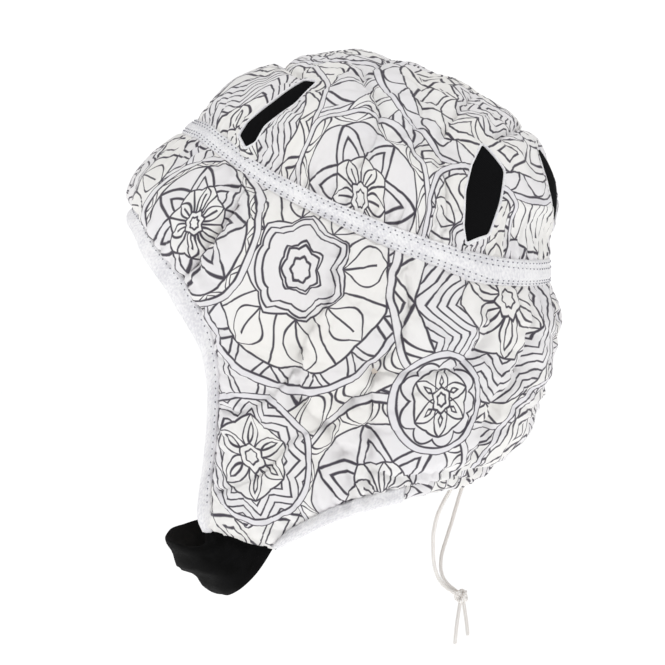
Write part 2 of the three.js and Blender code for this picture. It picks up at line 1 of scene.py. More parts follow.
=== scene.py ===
"""A padded scrum cap: printed cloth over foam blocks, taped seams, net vents, a soft strap and a drawcord.

Shapes are worked out in millimetres on the wearer's head, with z at 0 at the widest level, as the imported
model's were. to_scene() turns them into metres in the model's frame, whose origin is the inside of the crown.
A place on the head is a turn (degrees from the brow by the wearer's left) and a level (0 at the top, 1 at the
widest level, more below). A seed keeps each kind of noise the same on every run."""

import math

import bpy
import numpy as np
from mathutils import Matrix, Vector
from mathutils.geometry import delaunay_2d_cdt
from mathutils.kdtree import KDTree


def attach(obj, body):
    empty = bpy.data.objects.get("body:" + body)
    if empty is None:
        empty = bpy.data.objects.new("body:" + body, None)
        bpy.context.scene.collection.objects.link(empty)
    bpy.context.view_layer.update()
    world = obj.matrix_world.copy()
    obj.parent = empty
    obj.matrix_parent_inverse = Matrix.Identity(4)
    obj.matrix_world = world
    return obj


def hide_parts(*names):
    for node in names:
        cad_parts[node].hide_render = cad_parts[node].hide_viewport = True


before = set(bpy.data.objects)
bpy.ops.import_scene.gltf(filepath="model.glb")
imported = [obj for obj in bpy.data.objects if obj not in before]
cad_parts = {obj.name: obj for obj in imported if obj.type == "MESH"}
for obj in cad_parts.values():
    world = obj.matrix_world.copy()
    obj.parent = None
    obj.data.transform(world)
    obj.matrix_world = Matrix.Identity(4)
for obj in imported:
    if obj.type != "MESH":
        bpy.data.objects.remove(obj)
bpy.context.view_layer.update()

# Head form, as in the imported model
MM = 0.001
DOME = 94  # from the widest level up to the crown's inside
FRONT = 106  # from the middle to the brow
BACK_FULLNESS = 0.5  # how much fuller than an ellipse the crown is at the back
LEVEL_MM = 160  # how far down one level goes, below the widest
WIDTHS = np.array([  # drop, side, back
    (0, 75, 92), (20, 74.5, 91.5), (40, 71.5, 89), (60, 67.5, 84), (75, 64.5, 77), (90, 62, 63.5),
    (105, 59.5, 46.5), (125, 57, 38), (150, 55, 34),
])
BAND = np.array([  # turn, level
    (0, 0.5), (15, 0.505), (30, 0.53), (50, 0.615), (64, 0.69), (83, 0.778),
    (100, 0.85), (115, 0.91), (130, 0.955), (140, 0.98), (150, 0.995), (165, 1.005), (180, 1.008),
])
FACE_EDGE = np.array([  # turn at the band, turn, level
    (0, 0, 0.85), (15, 9.5, 0.86), (30, 19, 0.893), (42, 26, 0.957), (52, 31.5, 1.005), (61, 36.5, 1.055),
    (64, 39, 1.09), (67, 43, 1.14), (70, 46.5, 1.2), (72.5, 47.5, 1.26), (75, 47.3, 1.33), (77.5, 45.5, 1.41),
    (80, 43, 1.5), (82, 40.5, 1.58), (84, 38.2, 1.65), (86, 37, 1.71), (88, 38, 1.755),
])
FLAP_END = np.array([(88, 38, 1.755), (96, 66, 1.79)])
NECK_EDGE = np.array([
    (96, 66, 1.79), (101, 74, 1.762), (107, 83, 1.73), (113, 91, 1.704), (120, 100, 1.68), (128, 110, 1.66),
    (137, 121, 1.642), (147, 134, 1.63), (157, 147, 1.622), (168, 163, 1.628), (180, 180, 1.63),
])
TEMPLE = 61  # turn at the band where the forehead's cloth ends
FLAP_FRONT = 88  # and where the lines to the flap's two corners start
FLAP_BACK = 96
FLAP_CORNER = 2  # degrees over which the tapes end there
CHANNEL_START = 137  # where the neck tape ends and the cord's channel starts
TURN_STEP = 0.05  # for measuring which way the surface faces
LEVEL_STEP = 0.002
LEAST_LEVEL = 0.01  # nearer to the top it isn't measured

# How much further out the crown stands at the brow and at the back than at its sides
CROWN_RISE = np.array([  # level, brow, back
    (0.06, 0, -0.4), (0.13, 0, -3), (0.22, 0, -5), (0.32, 0, -5), (0.38, -1, -4.2), (0.44, -2.6, -3.8),
    (0.5, -3, -2.8), (0.57, -1.5, -0.6), (0.63, 0, 1.2), (0.7, 0, 2.8), (0.78, 0, 3.4), (0.85, 0, 1.6),
    (0.905, 0, -1.2), (0.95, 0, -2), (1.02, 0, -1),
])
CROWN_RISE_TURN = 36

# Seams between the foam blocks on the left: depth, then places
CREASES = {
    "ear": (0.85, [(97, 0.86), (94, 1.03), (85, 1.16), (78, 1.27), (62, 1.37), (50, 1.38)]),
    "ear front": (0.7, [(83, 1.21), (82, 1.34), (90, 1.41), (97, 1.49), (102, 1.66)]),
    "behind ear": (1, [(118, 0.92), (118, 1), (119, 1.07)]),
    "behind ear low": (0.75, [(119, 1.07), (115, 1.18), (108, 1.26), (108, 1.54), (106, 1.66)]),
    "flap": (0.65, [(108, 1.26), (101, 1.33), (90, 1.41), (78, 1.45), (65, 1.55), (47, 1.62)]),
    "nape": (0.8, [(140, 0.97), (145, 1.13), (135, 1.24), (125, 1.25), (108, 1.26)]),
    "nape side": (0.7, [(165, 1), (157, 1.26), (152, 1.35), (149, 1.44), (150, 1.6)]),
    "nape fold": (0.9, [(109, 1.54), (119, 1.56), (131, 1.55), (150, 1.55), (180, 1.54)]),
    "nape back": (0.8, [(157, 1.26), (180, 1.27)]),
}
CROWN_CREASES = {
    "front": (0.9, [(0, 0.17), (49, 0.24), (70, 0.31)]),
    "middle": (0.9, [(180, 0.05), (113, 0.24), (113, 0.44), (110, 0.59), (98, 0.76), (96, 0.85)]),
    "link": (0.7, [(110, 0.59), (124, 0.63)]),
    "back": (0.9, [(180, 0.22), (147, 0.29), (131, 0.49), (124, 0.63), (132, 0.69), (131, 0.93)]),
    "rear": (0.8, [(180, 0.38), (164, 0.41), (140, 0.55), (132, 0.69)]),
    "low": (0.8, [(180, 0.57), (157, 0.61), (149, 0.63)]),
}
CREASE_END = 0.03  # levels between a crown seam's end and the band
TACKS = [  # places on the left where the cloth is pinched down
    (108.2, 1.255), (100.6, 1.33), (108.7, 1.43), (97.1, 1.49), (90.2, 1.406), (81.9, 1.344), (121.9, 1.311),
]
VENTS = {  # whether it is on both sides, outline
    "front": (True, [
        (52.5, 0.563), (58, 0.611), (61.3, 0.592), (62.3, 0.528), (72.5, 0.437), (79, 0.322), (68.5, 0.305),
        (58, 0.435), (52.8, 0.507),
    ]),
    "back": (True, [
        (148.3, 0.632), (152.6, 0.728), (148.3, 0.828), (144.3, 0.907), (136.6, 0.925), (136, 0.88),
        (137.5, 0.785), (141.5, 0.705),
    ]),
    "centre": (False, [
        (174, 0.67), (171, 0.74), (171, 0.8), (174, 0.86), (180, 0.91), (186, 0.86), (189, 0.8), (189, 0.74),
        (186, 0.67),
    ]),
}
VENT_CORNER = 0.12  # of an edge, how much is rounded

# Padding: heights over the inside surface, then how far from a seam the cloth takes to rise
SEAM_HEIGHT = 2.6
PUFF = 8.7
VENT_RIM = 7.5
LINING_HEIGHT = 0.2
LINING_LIFT = 0.9  # more at a seam
EDGE_WIDTH = 12
CROWN_WIDTH = 24
SIDE_WIDTH = 15
BROW_WIDTH = 28
BROW_EDGE_WIDTH = 8
CREASE_WIDTH = 10
VENT_WIDTH = 8
VENT_HEM = 1.2  # how far the cloth is sewn down round a vent
HIDDEN = 2.4  # how far the cloth runs under a tape
TOUCH = 0.3  # nearer than this, a point is on a seam
GATHER = (2, 9, 7, 3)  # height, wavelength, reach and seed of the gathers at a tape
TUCK = (1, 11, 8, 5)  # the same for the tucks along a seam
CHANNEL_GATHER = (8, 3)  # wavelength and seed
PUCKER_START = 2  # how soon they rise
PUCKER_STRAY = (2.5, 35)  # how far they stray, and over what length
SLOW_RISE = 0.8  # how evenly the padding rises from a tape: 1 is a straight slope
LUMP = (0.5, 32, 7)  # height, wavelength and seed
TACK_DIPS = [(2, 5), (1.2, 1.8)]  # depth and radius
TACK_HOLD = 0.6  # of the points' spacing, how far round it the cloth is held

# The cloth's points
SPACING = 1.6
LINING_SPACING = 3.6
LINE_SPACING = 1.5
GRID_GAP = 0.7  # of the spacing, between a line and the nearest free point
LINE_CLEAR = 0.8  # of the spacing, between a seam's line and a panel's edge
SIDE_LEVEL_MM = 150  # how much flat cloth one level takes
CROWN_LEVEL_MM = 145
ARC_LEVEL = 1.15  # where the side cloth's length is measured

# Cloth simulation
SIM_FRAMES = 20
SWELL_CAP = 1.7  # the furthest that it moves the cloth
CLOTH_SETTINGS = {
    "quality": 6,
    "mass": 0.1,
    "tension_stiffness": 12,
    "compression_stiffness": 12,
    "shear_stiffness": 4,
    "bending_stiffness": 0.02,
    "vertex_group_mass": "pins",
    "shrink_min": -0.05,
    "use_pressure": True,
    "uniform_pressure_force": 4,
}

# Trims. A section is a closed list of distances across the line and heights over the inside surface.
TRIM_WIDTH = 9
BAND_WIDTH = 9.5
BAND_SECTION = [
    (-4.75, 2.6), (-4.6, 3.5), (-3.9, 3.9), (-3.0, 3.75), (-2.2, 3.95), (-1.1, 4.35), (0, 4.45), (1.1, 4.35),
    (2.2, 3.95), (3.0, 3.75), (3.9, 3.9), (4.6, 3.5), (4.75, 2.6), (4.2, 0.1), (0, 0), (-4.2, 0.1),
]
EDGE_SECTION = [
    (9.1, 2.6), (8.9, 3.8), (8.1, 4.4), (7.2, 4.5), (6.2, 5.3), (4.6, 6.1), (2.9, 6.2), (1.3, 5.5),
    (0.3, 4.3), (-0.2, 2.8), (0, 1.2), (0.8, 0.1), (2.4, -0.5), (5, -0.7), (7.5, -0.5), (9, 0.1),
]
FACE_LINED = range(8, 15)  # the strips of the edge's section that are lining
NECK_LINED = range(10, 15)
CHANNEL_SECTION = [
    (9.4, 2.2), (9.3, 3.3), (8.7, 4.1), (7.7, 4.8), (6.5, 5.3), (5.2, 5.5), (3.9, 5.3), (2.7, 4.7),
    (1.7, 3.8), (1.2, 2.7), (1.1, 1.4), (1.4, 0.3), (2.6, -0.4), (5, -0.7), (7.5, -0.5), (9, 0.1),
]
CHANNEL_FOLD = (0.4, 0.9)  # how far its gathers move it across and out
CHANNEL_FOLD_RISE = (1.5, 4)  # the height where they start, and over what more they grow
HEM_SECTION = [(1.1, 7), (0.9, 7.7), (0.4, 7.95), (-0.1, 7.7), (-0.3, 7.2), (-0.1, 6.6), (0.6, 6.4)]
NET_OVERLAP = 1.35  # how far a net runs under its hem
NET_BACK = 0.8  # height of its back
NET_EDGE = 6.7  # height of its front, and how much more in the middle
NET_RISE = 0.7
TAPE_STEP = 2
CHANNEL_STEP = 0.9
TAPE_END = 0.7  # degrees that a tape runs past the flap's corner
TIP = 3.2  # degrees over which a trim's end is rounded
TIP_CENTRE = (1, 2)  # across and height that it narrows to
TIP_LEAST = 0.12  # of its width, at the very end
RUMPLE_WIDTH = (0.04, 13, 31)  # size, wavelength and seed
RUMPLE_LIFT = (0.12, 19, 32)
STITCH = 2.2
STITCH_GAP = 1.1
STITCH_RADIUS = 0.17
NEEDLE_HOLE = (0.8, 0.36)  # length, radius of the needle holes' dark dots of painted shade
ROD = [(-0.5, 0.25), (-0.36, 0.8), (0, 1), (0.36, 0.8), (0.5, 0.25)]  # along, size
ROD_SIDES = 6
BAND_ROWS = [(-3.5, 3.88), (-2, 4), (2, 4), (3.5, 3.88)]  # across, height
FACE_ROW = (7.5, 4.45)
FACE_ROW_STEP = 0.7
FACE_ROW_END = 1.6  # degrees short of the flap's corner

# Chin strap
STRAP = np.array([  # front edge, back edge
    ((52.6, -60, -125.5), (56.5, -33, -136.5)),
    ((50, -67.5, -128), (54, -41, -145)),
    ((42, -76, -128.5), (46, -48.5, -150)),
    ((31, -82.5, -128.5), (31, -57, -153.5)),
    ((18, -87, -128.5), (15, -63.5, -155.5)),
    ((0, -89, -128), (0, -66, -156.5)),
])
STRAP_TIGHTER = np.array([  # how the right side's back edge differs
    (0, -3, 8), (0, -4, 9), (0, -3, 6), (0, -1.5, 3), (0, 0, 0),
])
STRAP_ENDS = (0.02, 0.875)  # levels above the flap's edge, height over the inside surface
STRAP_STEPS = 9  # between two rows
STRAP_SIDES = 40
STRAP_ROUND = (0.75, 0.6)  # across and out: 1 is an ellipse, less is squarer
STRAP_THICKNESS = 3.4
STRAP_CUP = 2.5  # how far its middle bows out
STRAP_FOLD = 2  # height of the folds along it
STRAP_FOLDS = 1.9  # how many lie side by side
STRAP_FOLD_START = 0.6  # how far along a fold the back edge is, in radians
STRAP_STRAY = (1.6, 50, 23)  # how they wander: size, wavelength and seed
STRAP_RUMPLES = [(0.8, 34, 21, (1, 1, 1.6)), (0.3, 15, 22, (1, 1, 1))]  # the same, and stretch
STRAP_HEM = (0.35, 0.05)  # height, and width as a share
STRAP_HEM_PLACES = (0.08, 0.92)

# Drawcord
CORD_DIAMETER = 1.9
STRANDS = {
    "left": [
        (17.6, 51.6, -101.4), (17, 50.7, -103.6), (16.6, 48.5, -107.4), (15.6, 46.1, -112.2),
        (14.3, 44.3, -116.8), (12.8, 43.2, -120.9), (11.5, 42.4, -124.8), (10.1, 42, -128.3),
        (8.9, 41.9, -131.2), (7.7, 41.8, -134.4), (6.2, 41.8, -138.3), (4.5, 42.2, -142.6),
        (2.9, 43.3, -146.9), (1.8, 45.1, -150.2), (1.3, 47.6, -152.7), (1.2, 51.2, -155),
    ],
    "right": [
        (-17, 52.4, -101), (-17.4, 52.9, -103.6), (-17.1, 52.2, -107.4), (-16.1, 51.1, -111.3),
        (-14.9, 50.2, -115), (-13.4, 49.2, -118.7), (-12, 48.3, -122.6), (-10.1, 46.9, -127.4),
        (-8.2, 45.9, -131.2), (-6.3, 44.9, -134.8), (-4.4, 44.2, -138.4), (-2.7, 44.1, -141.8),
        (-1.6, 44.4, -145), (-1.2, 45.6, -148.4), (-1.2, 48, -151.6), (-1.2, 51.4, -154.3),
    ],
}
TAILS = {
    "left": [
        (1.2, 54, -160.3), (1.5, 53.4, -164.5), (1.8, 52.8, -169), (1.7, 52.2, -174), (1.4, 51.7, -179.4),
    ],
    "right": [
        (-1.2, 55.4, -160.3), (-1.5, 56, -164), (-1.6, 56.6, -167.8), (-1.5, 57.1, -171.6),
        (-1.2, 57.5, -175.4),
    ],
}
KNOT_CENTRE = (0, 54.6, -156.6)
KNOT_SIZE = 7.4
KNOT_HEIGHT = 0.75  # of its width
KNOT_CORD = 0.56  # radius of the tightened cord, of its diameter
KNOT_STEPS = 72
KNOT_SIDES = 14

# Camera: where it stands round the cap, and how far the photograph's middle is from the head's middle
VIEW_TURN = 100
VIEW_RISE = 5
VIEW_DISTANCE = 1200
VIEW_AIM = (-8.4, -30)  # right and up
VIEW_WIDTH = 319.2  # what the frame spans at that distance
SENSOR = 36

# Stage, in metres
FLOOR_LEVEL = -0.62
FLOOR_REACH = 4
FLOOR_GLOW = 0.6
ROOM_LIGHT = 0.43  # how much light the walls give
ROOM_WHITE = 1.05  # how bright they look
LIT_POINT = Vector((0, 0, -0.1))
LAMPS = [  # name, place, watts, size
    ("key", (1.0, -0.5, 1.5), 13, 0.5),
    ("back_light", (0.5, 1.5, 0.8), 8, 0.8),
    ("face_light", (0.7, -1.4, -0.2), 2.6, 0.8),
]

# The print: rosettes of rings of plain motifs. Centre and radius are on the flat cloth, with the crown's
# cloth at CROWN_SHIFT and the right side's at RIGHT_SHIFT. ring and cell are the size of one motif.
CROWN_SHIFT = (0, 600)
RIGHT_SHIFT = (350, 0)
ROSETTES = [  # x, y, radius, ring, cell, first motif
    (134, 146, 50, 20, 24, 3), (226, 160, 54, 21, 25, 0), (172, 244, 47, 18, 23, 4),
    (264, 232, 38, 16, 20, 1), (106, 226, 31, 18, 20, 0), (196, 200, 22, 13, 14, 2),
    (-64, 116, 47, 18, 23, 1), (22, 108, 45, 17, 22, 3), (84, 128, 34, 14, 19, 4),
    (474, 158, 50, 20, 24, 1), (562, 166, 53, 21, 24, 3), (514, 244, 47, 18, 23, 0),
    (602, 232, 39, 16, 20, 4), (442, 226, 31, 17, 20, 3),
    (62, 546, 54, 21, 25, 0), (-52, 552, 50, 20, 24, 3), (112, 626, 45, 18, 23, 4),
    (20, 668, 52, 20, 25, 1), (-72, 650, 50, 20, 24, 0), (-132, 588, 36, 15, 20, 4),
    (92, 704, 38, 16, 20, 3), (6, 600, 24, 14, 16, 2),
]
GROUND = ((170, -160, 5000), (21, 21, 2))
STAR = 0.11  # how far the rings inside a rosette are pulled out into points
HUB = 0.34  # of a ring, the plain middle of a rosette
MOTIFS = 6
LINE = 0.92  # width of a printed line
LINE_CHANGE = (0.3, 9)  # how much it changes, and over what length
LINE_BLUR = 0.2
CHEVRON = 5  # between the lines of a chevron
DOUBLE = 3.1  # between the two lines of an outline
WOBBLE = (2.6, 30)  # how far the lines stray, and over what length
SHADE_LENGTH = 55
IVORY = (0.875, 0.86, 0.835)
IVORY_PALE = (0.87, 0.86, 0.855)
LILAC = (0.775, 0.76, 0.81)
INK = (0.065, 0.058, 0.075)


def to_scene(points):
    return (np.asarray(points, float) - (0, 0, DOME)) * MM


def unit(vectors):
    return vectors / np.linalg.norm(vectors, axis=-1, keepdims=True)


def lengths_along(path):
    """How far along a path each of its points is."""
    return np.concatenate([[0], np.cumsum(np.linalg.norm(np.diff(path, axis=0), axis=1))])


def add_camera():
    turn, rise = math.radians(VIEW_TURN), math.radians(VIEW_RISE)
    back = np.array([math.sin(turn) * math.cos(rise), -math.cos(turn) * math.cos(rise), math.sin(rise)])
    right = unit(np.cross(-back, (0, 0, 1)))
    up = np.cross(right, -back)
    eye = VIEW_AIM[0] * right + VIEW_AIM[1] * up + VIEW_DISTANCE * back
    data = bpy.data.cameras.new("camera")
    data.sensor_width = SENSOR
    data.lens = SENSOR * VIEW_DISTANCE / VIEW_WIDTH
    data.clip_start = 0.05
    camera = new_object("camera", data)
    turned = Matrix(np.stack([right, up, back], 1).tolist()).to_4x4()
    camera.matrix_world = Matrix.Translation(to_scene(eye)) @ turned
    bpy.context.scene.camera = camera


# Head form


def read(table, column, at):
    """A column of a table at the given places, on a smooth curve through its rows."""
    x, y = table[:, 0], table[:, column]
    slope = np.gradient(y)
    slope[1:-1] = (y[2:] - y[:-2]) / (x[2:] - x[:-2])
    slope[0] = (y[1] - y[0]) / (x[1] - x[0])
    slope[-1] = (y[-1] - y[-2]) / (x[-1] - x[-2])
    i = np.clip(np.searchsorted(x, at) - 1, 0, len(x) - 2)
    span = x[i + 1] - x[i]
    t = np.clip((at - x[i]) / span, 0, 1)
    return (
        (2 * t**3 - 3 * t**2 + 1) * y[i]
        + (t**3 - 2 * t**2 + t) * slope[i] * span
        + (3 * t**2 - 2 * t**3) * y[i + 1]
        + (t**3 - t**2) * slope[i + 1] * span
    )


def inside_point(turn, level):
    """The point of the inside surface at a place."""
    turn, level = np.broadcast_arrays(np.asarray(turn, float), np.asarray(level, float))
    c, s = np.cos(np.radians(turn)), np.sin(np.radians(turn))
    drop = np.maximum(0, level - 1) * LEVEL_MM
    side, back = read(WIDTHS, 1, drop), read(WIDTHS, 2, drop)
    reach = 1 / np.hypot(c / np.where(c > 0, FRONT, back), s / side)
    tilt = np.pi / 2 * (1 - np.clip(level, 0, 1))
    power = 2 / (2 + BACK_FULLNESS * (0.5 - 0.5 * c))
    flat = np.maximum(np.cos(tilt), 0) ** power
    height = DOME * np.sin(tilt) ** power - drop
    return np.stack([reach * s * flat, -reach * c * flat, height], -1)


def wall_normal(turn, level):
    level = np.maximum(level, LEAST_LEVEL)
    around = inside_point(turn + TURN_STEP, level) - inside_point(turn - TURN_STEP, level)
    down = inside_point(turn, level + LEVEL_STEP) - inside_point(turn, level - LEVEL_STEP)
    return unit(np.cross(down, around))


def wall_point(turn, level, out):
    """A point of the wall: the inside surface moved out along its normal."""
    turn, level = np.asarray(turn, float), np.asarray(level, float)
    return inside_point(turn, level) + np.asarray(out, float)[..., None] * wall_normal(turn, level)


def wrapped(turn):
    return (np.asarray(turn, float) + 180) % 360 - 180


def crown_rise(turn, level):
    """How much further out the crown stands at a place than at its sides."""
    from_front = np.abs(wrapped(turn))
    return sum(
        read(CROWN_RISE, column, level) * np.exp(-((away / CROWN_RISE_TURN) ** 2))
        for column, away in ((1, from_front), (2, 180 - from_front))
    )


def band_level(turn):
    return read(BAND, 1, np.abs(wrapped(turn)))


def lower_edge(start):
    """Turn and level where the line down the panels ends that leaves the band at turn start."""
    f = np.abs(start)
    turn, level = (
        np.where(
            f <= FLAP_FRONT,
            read(FACE_EDGE, k, f),
            np.where(f <= FLAP_BACK, read(FLAP_END, k, f), read(NECK_EDGE, k, f)),
        )
        for k in (1, 2)
    )
    return np.sign(start) * turn, level


def panel_place(start, share):
    """The place a share of the way from the band to the lower edge."""
    turn, level = lower_edge(start)
    top = read(BAND, 1, np.abs(start))
    return start + (turn - start) * share**2, top + (level - top) * share


def crown_place(start, share):
    return start, band_level(start) * (1 - share)


def line_length(place, start):
    """The length over the inside surface of the line of places that leaves the band at turn start."""
    share = np.linspace(0, 1, 17)[:, None]
    points = inside_point(*place(np.atleast_1d(np.asarray(start, float))[None], share))
    return np.linalg.norm(np.diff(points, axis=0), axis=-1).sum(0)


def band_place(turns, across):
    """The place some millimetres below the band's middle, or above it where across is negative."""
    above = crown_place(turns, -across / line_length(crown_place, turns))
    below = panel_place(turns, across / line_length(panel_place, turns))
    return tuple(np.where(across < 0, a, b) for a, b in zip(above, below))


def edge_place(turns, up):
    """The place some millimetres above the lower edge."""
    return panel_place(turns, 1 - up / line_length(panel_place, turns))


def along_edge(start, end, spacing):
    """Turns at the band that give even steps along the lower edge."""
    turns = np.linspace(start, end, 2000)
    at = lengths_along(inside_point(*panel_place(turns, 1)))
    return np.interp(np.linspace(0, at[-1], int(at[-1] / spacing)), at, turns)


# Meshes and paths


def new_object(name, data):
    obj = bpy.data.objects.new(name, data)
    bpy.context.scene.collection.objects.link(obj)
    return obj


def finished(obj, slot, *nodes):
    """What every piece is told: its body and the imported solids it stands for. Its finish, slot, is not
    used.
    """
    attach(obj, "root")
    if nodes:
        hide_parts(*nodes)
    return obj


def make_mesh(name, points, faces, corner_uv=None, slots=None, materials=()):
    """A smooth mesh from points in head millimetres. corner_uv has a row for each face corner, in metres."""
    mesh = bpy.data.meshes.new(name)
    mesh.from_pydata(to_scene(points).tolist(), [], [list(map(int, f)) for f in faces])
    for material in materials:
        mesh.materials.append(material)
    if corner_uv is not None:
        mesh.uv_layers.new(name="cloth").data.foreach_set("uv", np.asarray(corner_uv, np.float32).ravel())
    if slots is not None:
        mesh.polygons.foreach_set("material_index", np.asarray(slots, np.int32))
    mesh.polygons.foreach_set("use_smooth", np.ones(len(mesh.polygons), bool))
    mesh.update()
    return mesh


def loft(name, sections, material, loop=False, flat=None, lined=(), lining=None):
    """A closed body through closed sections. Its uv runs along and round it in metres.

    flat gives the first section point's place on the flat cloth in each section. The strips between
    section points that lined names get the lining's material."""
    sections = np.asarray(sections, float)
    n, m = sections.shape[:2]
    if flat is None:
        middle = sections.mean(1)
        along = lengths_along(np.vstack([middle, middle[:1]]))
        flat = np.stack([along, 0 * along], 1)
    ring = lengths_along(np.vstack([sections[n // 2], sections[n // 2][:1]]))
    around = np.stack([0 * ring, ring], 1)
    faces, uv, slots = [], [], []
    for i in range(n if loop else n - 1):
        for j in range(m):
            corners = ((i, j), (i, j + 1), (i + 1, j + 1), (i + 1, j))
            faces.append([a % n * m + b % m for a, b in corners])
            uv += [flat[a] + around[b] for a, b in corners]
            slots.append(int(j in lined))
    if not loop:
        for i, order in ((0, -1), (n - 1, 1)):
            faces.append([i * m + j for j in range(m)][::order])
            uv += [flat[i] + around[j] for j in range(m)]
            slots.append(0)
    materials = [material, lining] if lining else [material]
    mesh = make_mesh(name, sections.reshape(-1, 3), faces, np.array(uv) * MM, slots, materials)
    return new_object(name, mesh)


def catmull_rom(points, per_span):
    """A smooth path through the points, with per_span steps between two of them."""
    p = np.asarray(points, float)
    p = np.vstack([2 * p[0] - p[1], p, 2 * p[-1] - p[-2]])
    t = np.linspace(0, 1, per_span, endpoint=False)[:, None]
    spans = [
        0.5 * (2 * b + (c - a) * t + (2 * a - 5 * b + 4 * c - d) * t**2 + (3 * b - a - 3 * c + d) * t**3)
        for a, b, c, d in zip(p, p[1:], p[2:], p[3:])
    ]
    return np.vstack([*spans, p[-2:-1]])


def resample(points, spacing, closed=False):
    """Evenly spaced points along a path, whose last point is left out if it is closed."""
    p = np.asarray(points, float)
    if closed:
        p = np.vstack([p, p[:1]])
    at = lengths_along(p)
    wanted = np.linspace(0, at[-1], max(2, int(round(at[-1] / spacing))) + 1)
    found = np.stack([np.interp(wanted, at, p[:, k]) for k in range(p.shape[1])], 1)
    return found[:-1] if closed else found


def frames_along(path, loop=False):
    """Two directions across a path at each of its points, turning as little as they can."""
    tangent = unit(np.roll(path, -1, 0) - np.roll(path, 1, 0) if loop else np.gradient(path, axis=0))
    side = np.cross(tangent[0], (0.3, 0.2, 1))
    sides = []
    for t in tangent:
        side = unit(side - t * (side @ t))
        sides.append(side)
    return np.array(sides), np.cross(tangent, sides)


def tube_sections(path, radius, sides=12, loop=False):
    """Round sections along a path. radius may be a number or one for each point."""
    a, b = frames_along(path, loop)
    angle = np.linspace(0, 2 * np.pi, sides, endpoint=False)[None, :, None]
    radius = np.broadcast_to(radius, len(path))[:, None, None]
    return path[:, None] + radius * (np.cos(angle) * a[:, None] + np.sin(angle) * b[:, None])


def rounded_ends(path, radius, steps=4):
    """A path and radii with a half ball at both ends."""
    angle = np.linspace(0, np.pi / 2, steps + 1)[1:]
    before = path[0] + radius * np.sin(angle)[::-1, None] * unit(path[0] - path[1])
    after = path[-1] + radius * np.sin(angle)[:, None] * unit(path[-1] - path[-2])
    tip = np.maximum(radius * np.cos(angle), 0.04 * radius)
    return np.vstack([before, path, after]), np.concatenate([tip[::-1], np.full(len(path), radius), tip])


def nearest(points, samples):
    """Each point's distance to the nearest sample, and which it is."""
    three = [np.hstack([p, np.zeros((len(p), 3 - p.shape[1]))]) for p in (points, samples)]
    tree = KDTree(len(samples))
    for i, sample in enumerate(three[1].tolist()):
        tree.insert(sample, i)
    tree.balance()
    found = [tree.find(point)[1:] for point in three[0].tolist()]
    return np.array([far for _, far in found]), np.array([i for i, _ in found])


# Drawcord


def make_cord(side, material):
    """One strand from its channel, through the knot and along its tail."""
    strand = STRANDS[side]
    x, (_, y, z) = strand[-1][0], KNOT_CENTRE
    path = catmull_rom([*strand, (0.8 * x, y - 1, z), (0.9 * x, y - 0.3, z - 2), *TAILS[side]], 4)
    route, radii = rounded_ends(path, CORD_DIAMETER / 2)
    cord = loft("cord_" + side, tube_sections(route, radii), material)
    finished(cord, "cord_yarn", "drawcord_" + side, "drawcord_tail_" + side)


def make_knot(material):
    """Both strands wound once round themselves and tucked, as an overhand knot is."""
    t = np.linspace(0, 2 * np.pi, KNOT_STEPS, endpoint=False)
    size = KNOT_SIZE / 2 - CORD_DIAMETER / 2
    across = (np.sin(t) + 2 * np.sin(2 * t)) / 3
    depth = (np.cos(t) - 2 * np.cos(2 * t)) / 3
    height = -KNOT_HEIGHT * np.sin(3 * t)
    path = np.stack([across * size, depth * size, height * size], 1) + KNOT_CENTRE
    sections = tube_sections(path, KNOT_CORD * CORD_DIAMETER, KNOT_SIDES, loop=True)
    finished(loft("cord_knot", sections, material, loop=True), "cord_yarn", "drawcord_knot")


# Flat pattern pieces. Their coordinates are millimetres of cloth, which the print follows too.
TURNS = np.linspace(-180, 180, 721)
ARC = lengths_along(inside_point(TURNS, ARC_LEVEL))
ARC -= ARC[len(ARC) // 2]


def side_flat(turn, level):
    """Where a place is on the flat cloth of the sides and the forehead."""
    return np.stack([np.interp(turn, TURNS, ARC), SIDE_LEVEL_MM * np.asarray(level)], -1)


def side_place(flat):
    return np.interp(flat[..., 0], ARC, TURNS), flat[..., 1] / SIDE_LEVEL_MM


def crown_flat(turn, level):
    """Where a place is on the crown's flat cloth, round the crown's top."""
    angle = np.radians(turn)
    return CROWN_LEVEL_MM * np.asarray(level)[..., None] * np.stack([np.sin(angle), -np.cos(angle)], -1)


def crown_unflat(flat):
    x, y = flat[..., 0], flat[..., 1]
    return np.degrees(np.arctan2(x, -y)), np.hypot(x, y) / CROWN_LEVEL_MM


def inside_outline(points, outline):
    """Which flat points lie inside a closed outline."""
    inside = np.zeros(len(points), bool)
    for a, b in zip(outline, np.roll(outline, -1, 0)):
        rows = np.flatnonzero((a[1] > points[:, 1]) != (b[1] > points[:, 1]))
        x = a[0] + (b[0] - a[0]) * (points[rows, 1] - a[1]) / (b[1] - a[1])
        inside[rows] ^= points[rows, 0] < x
    return inside


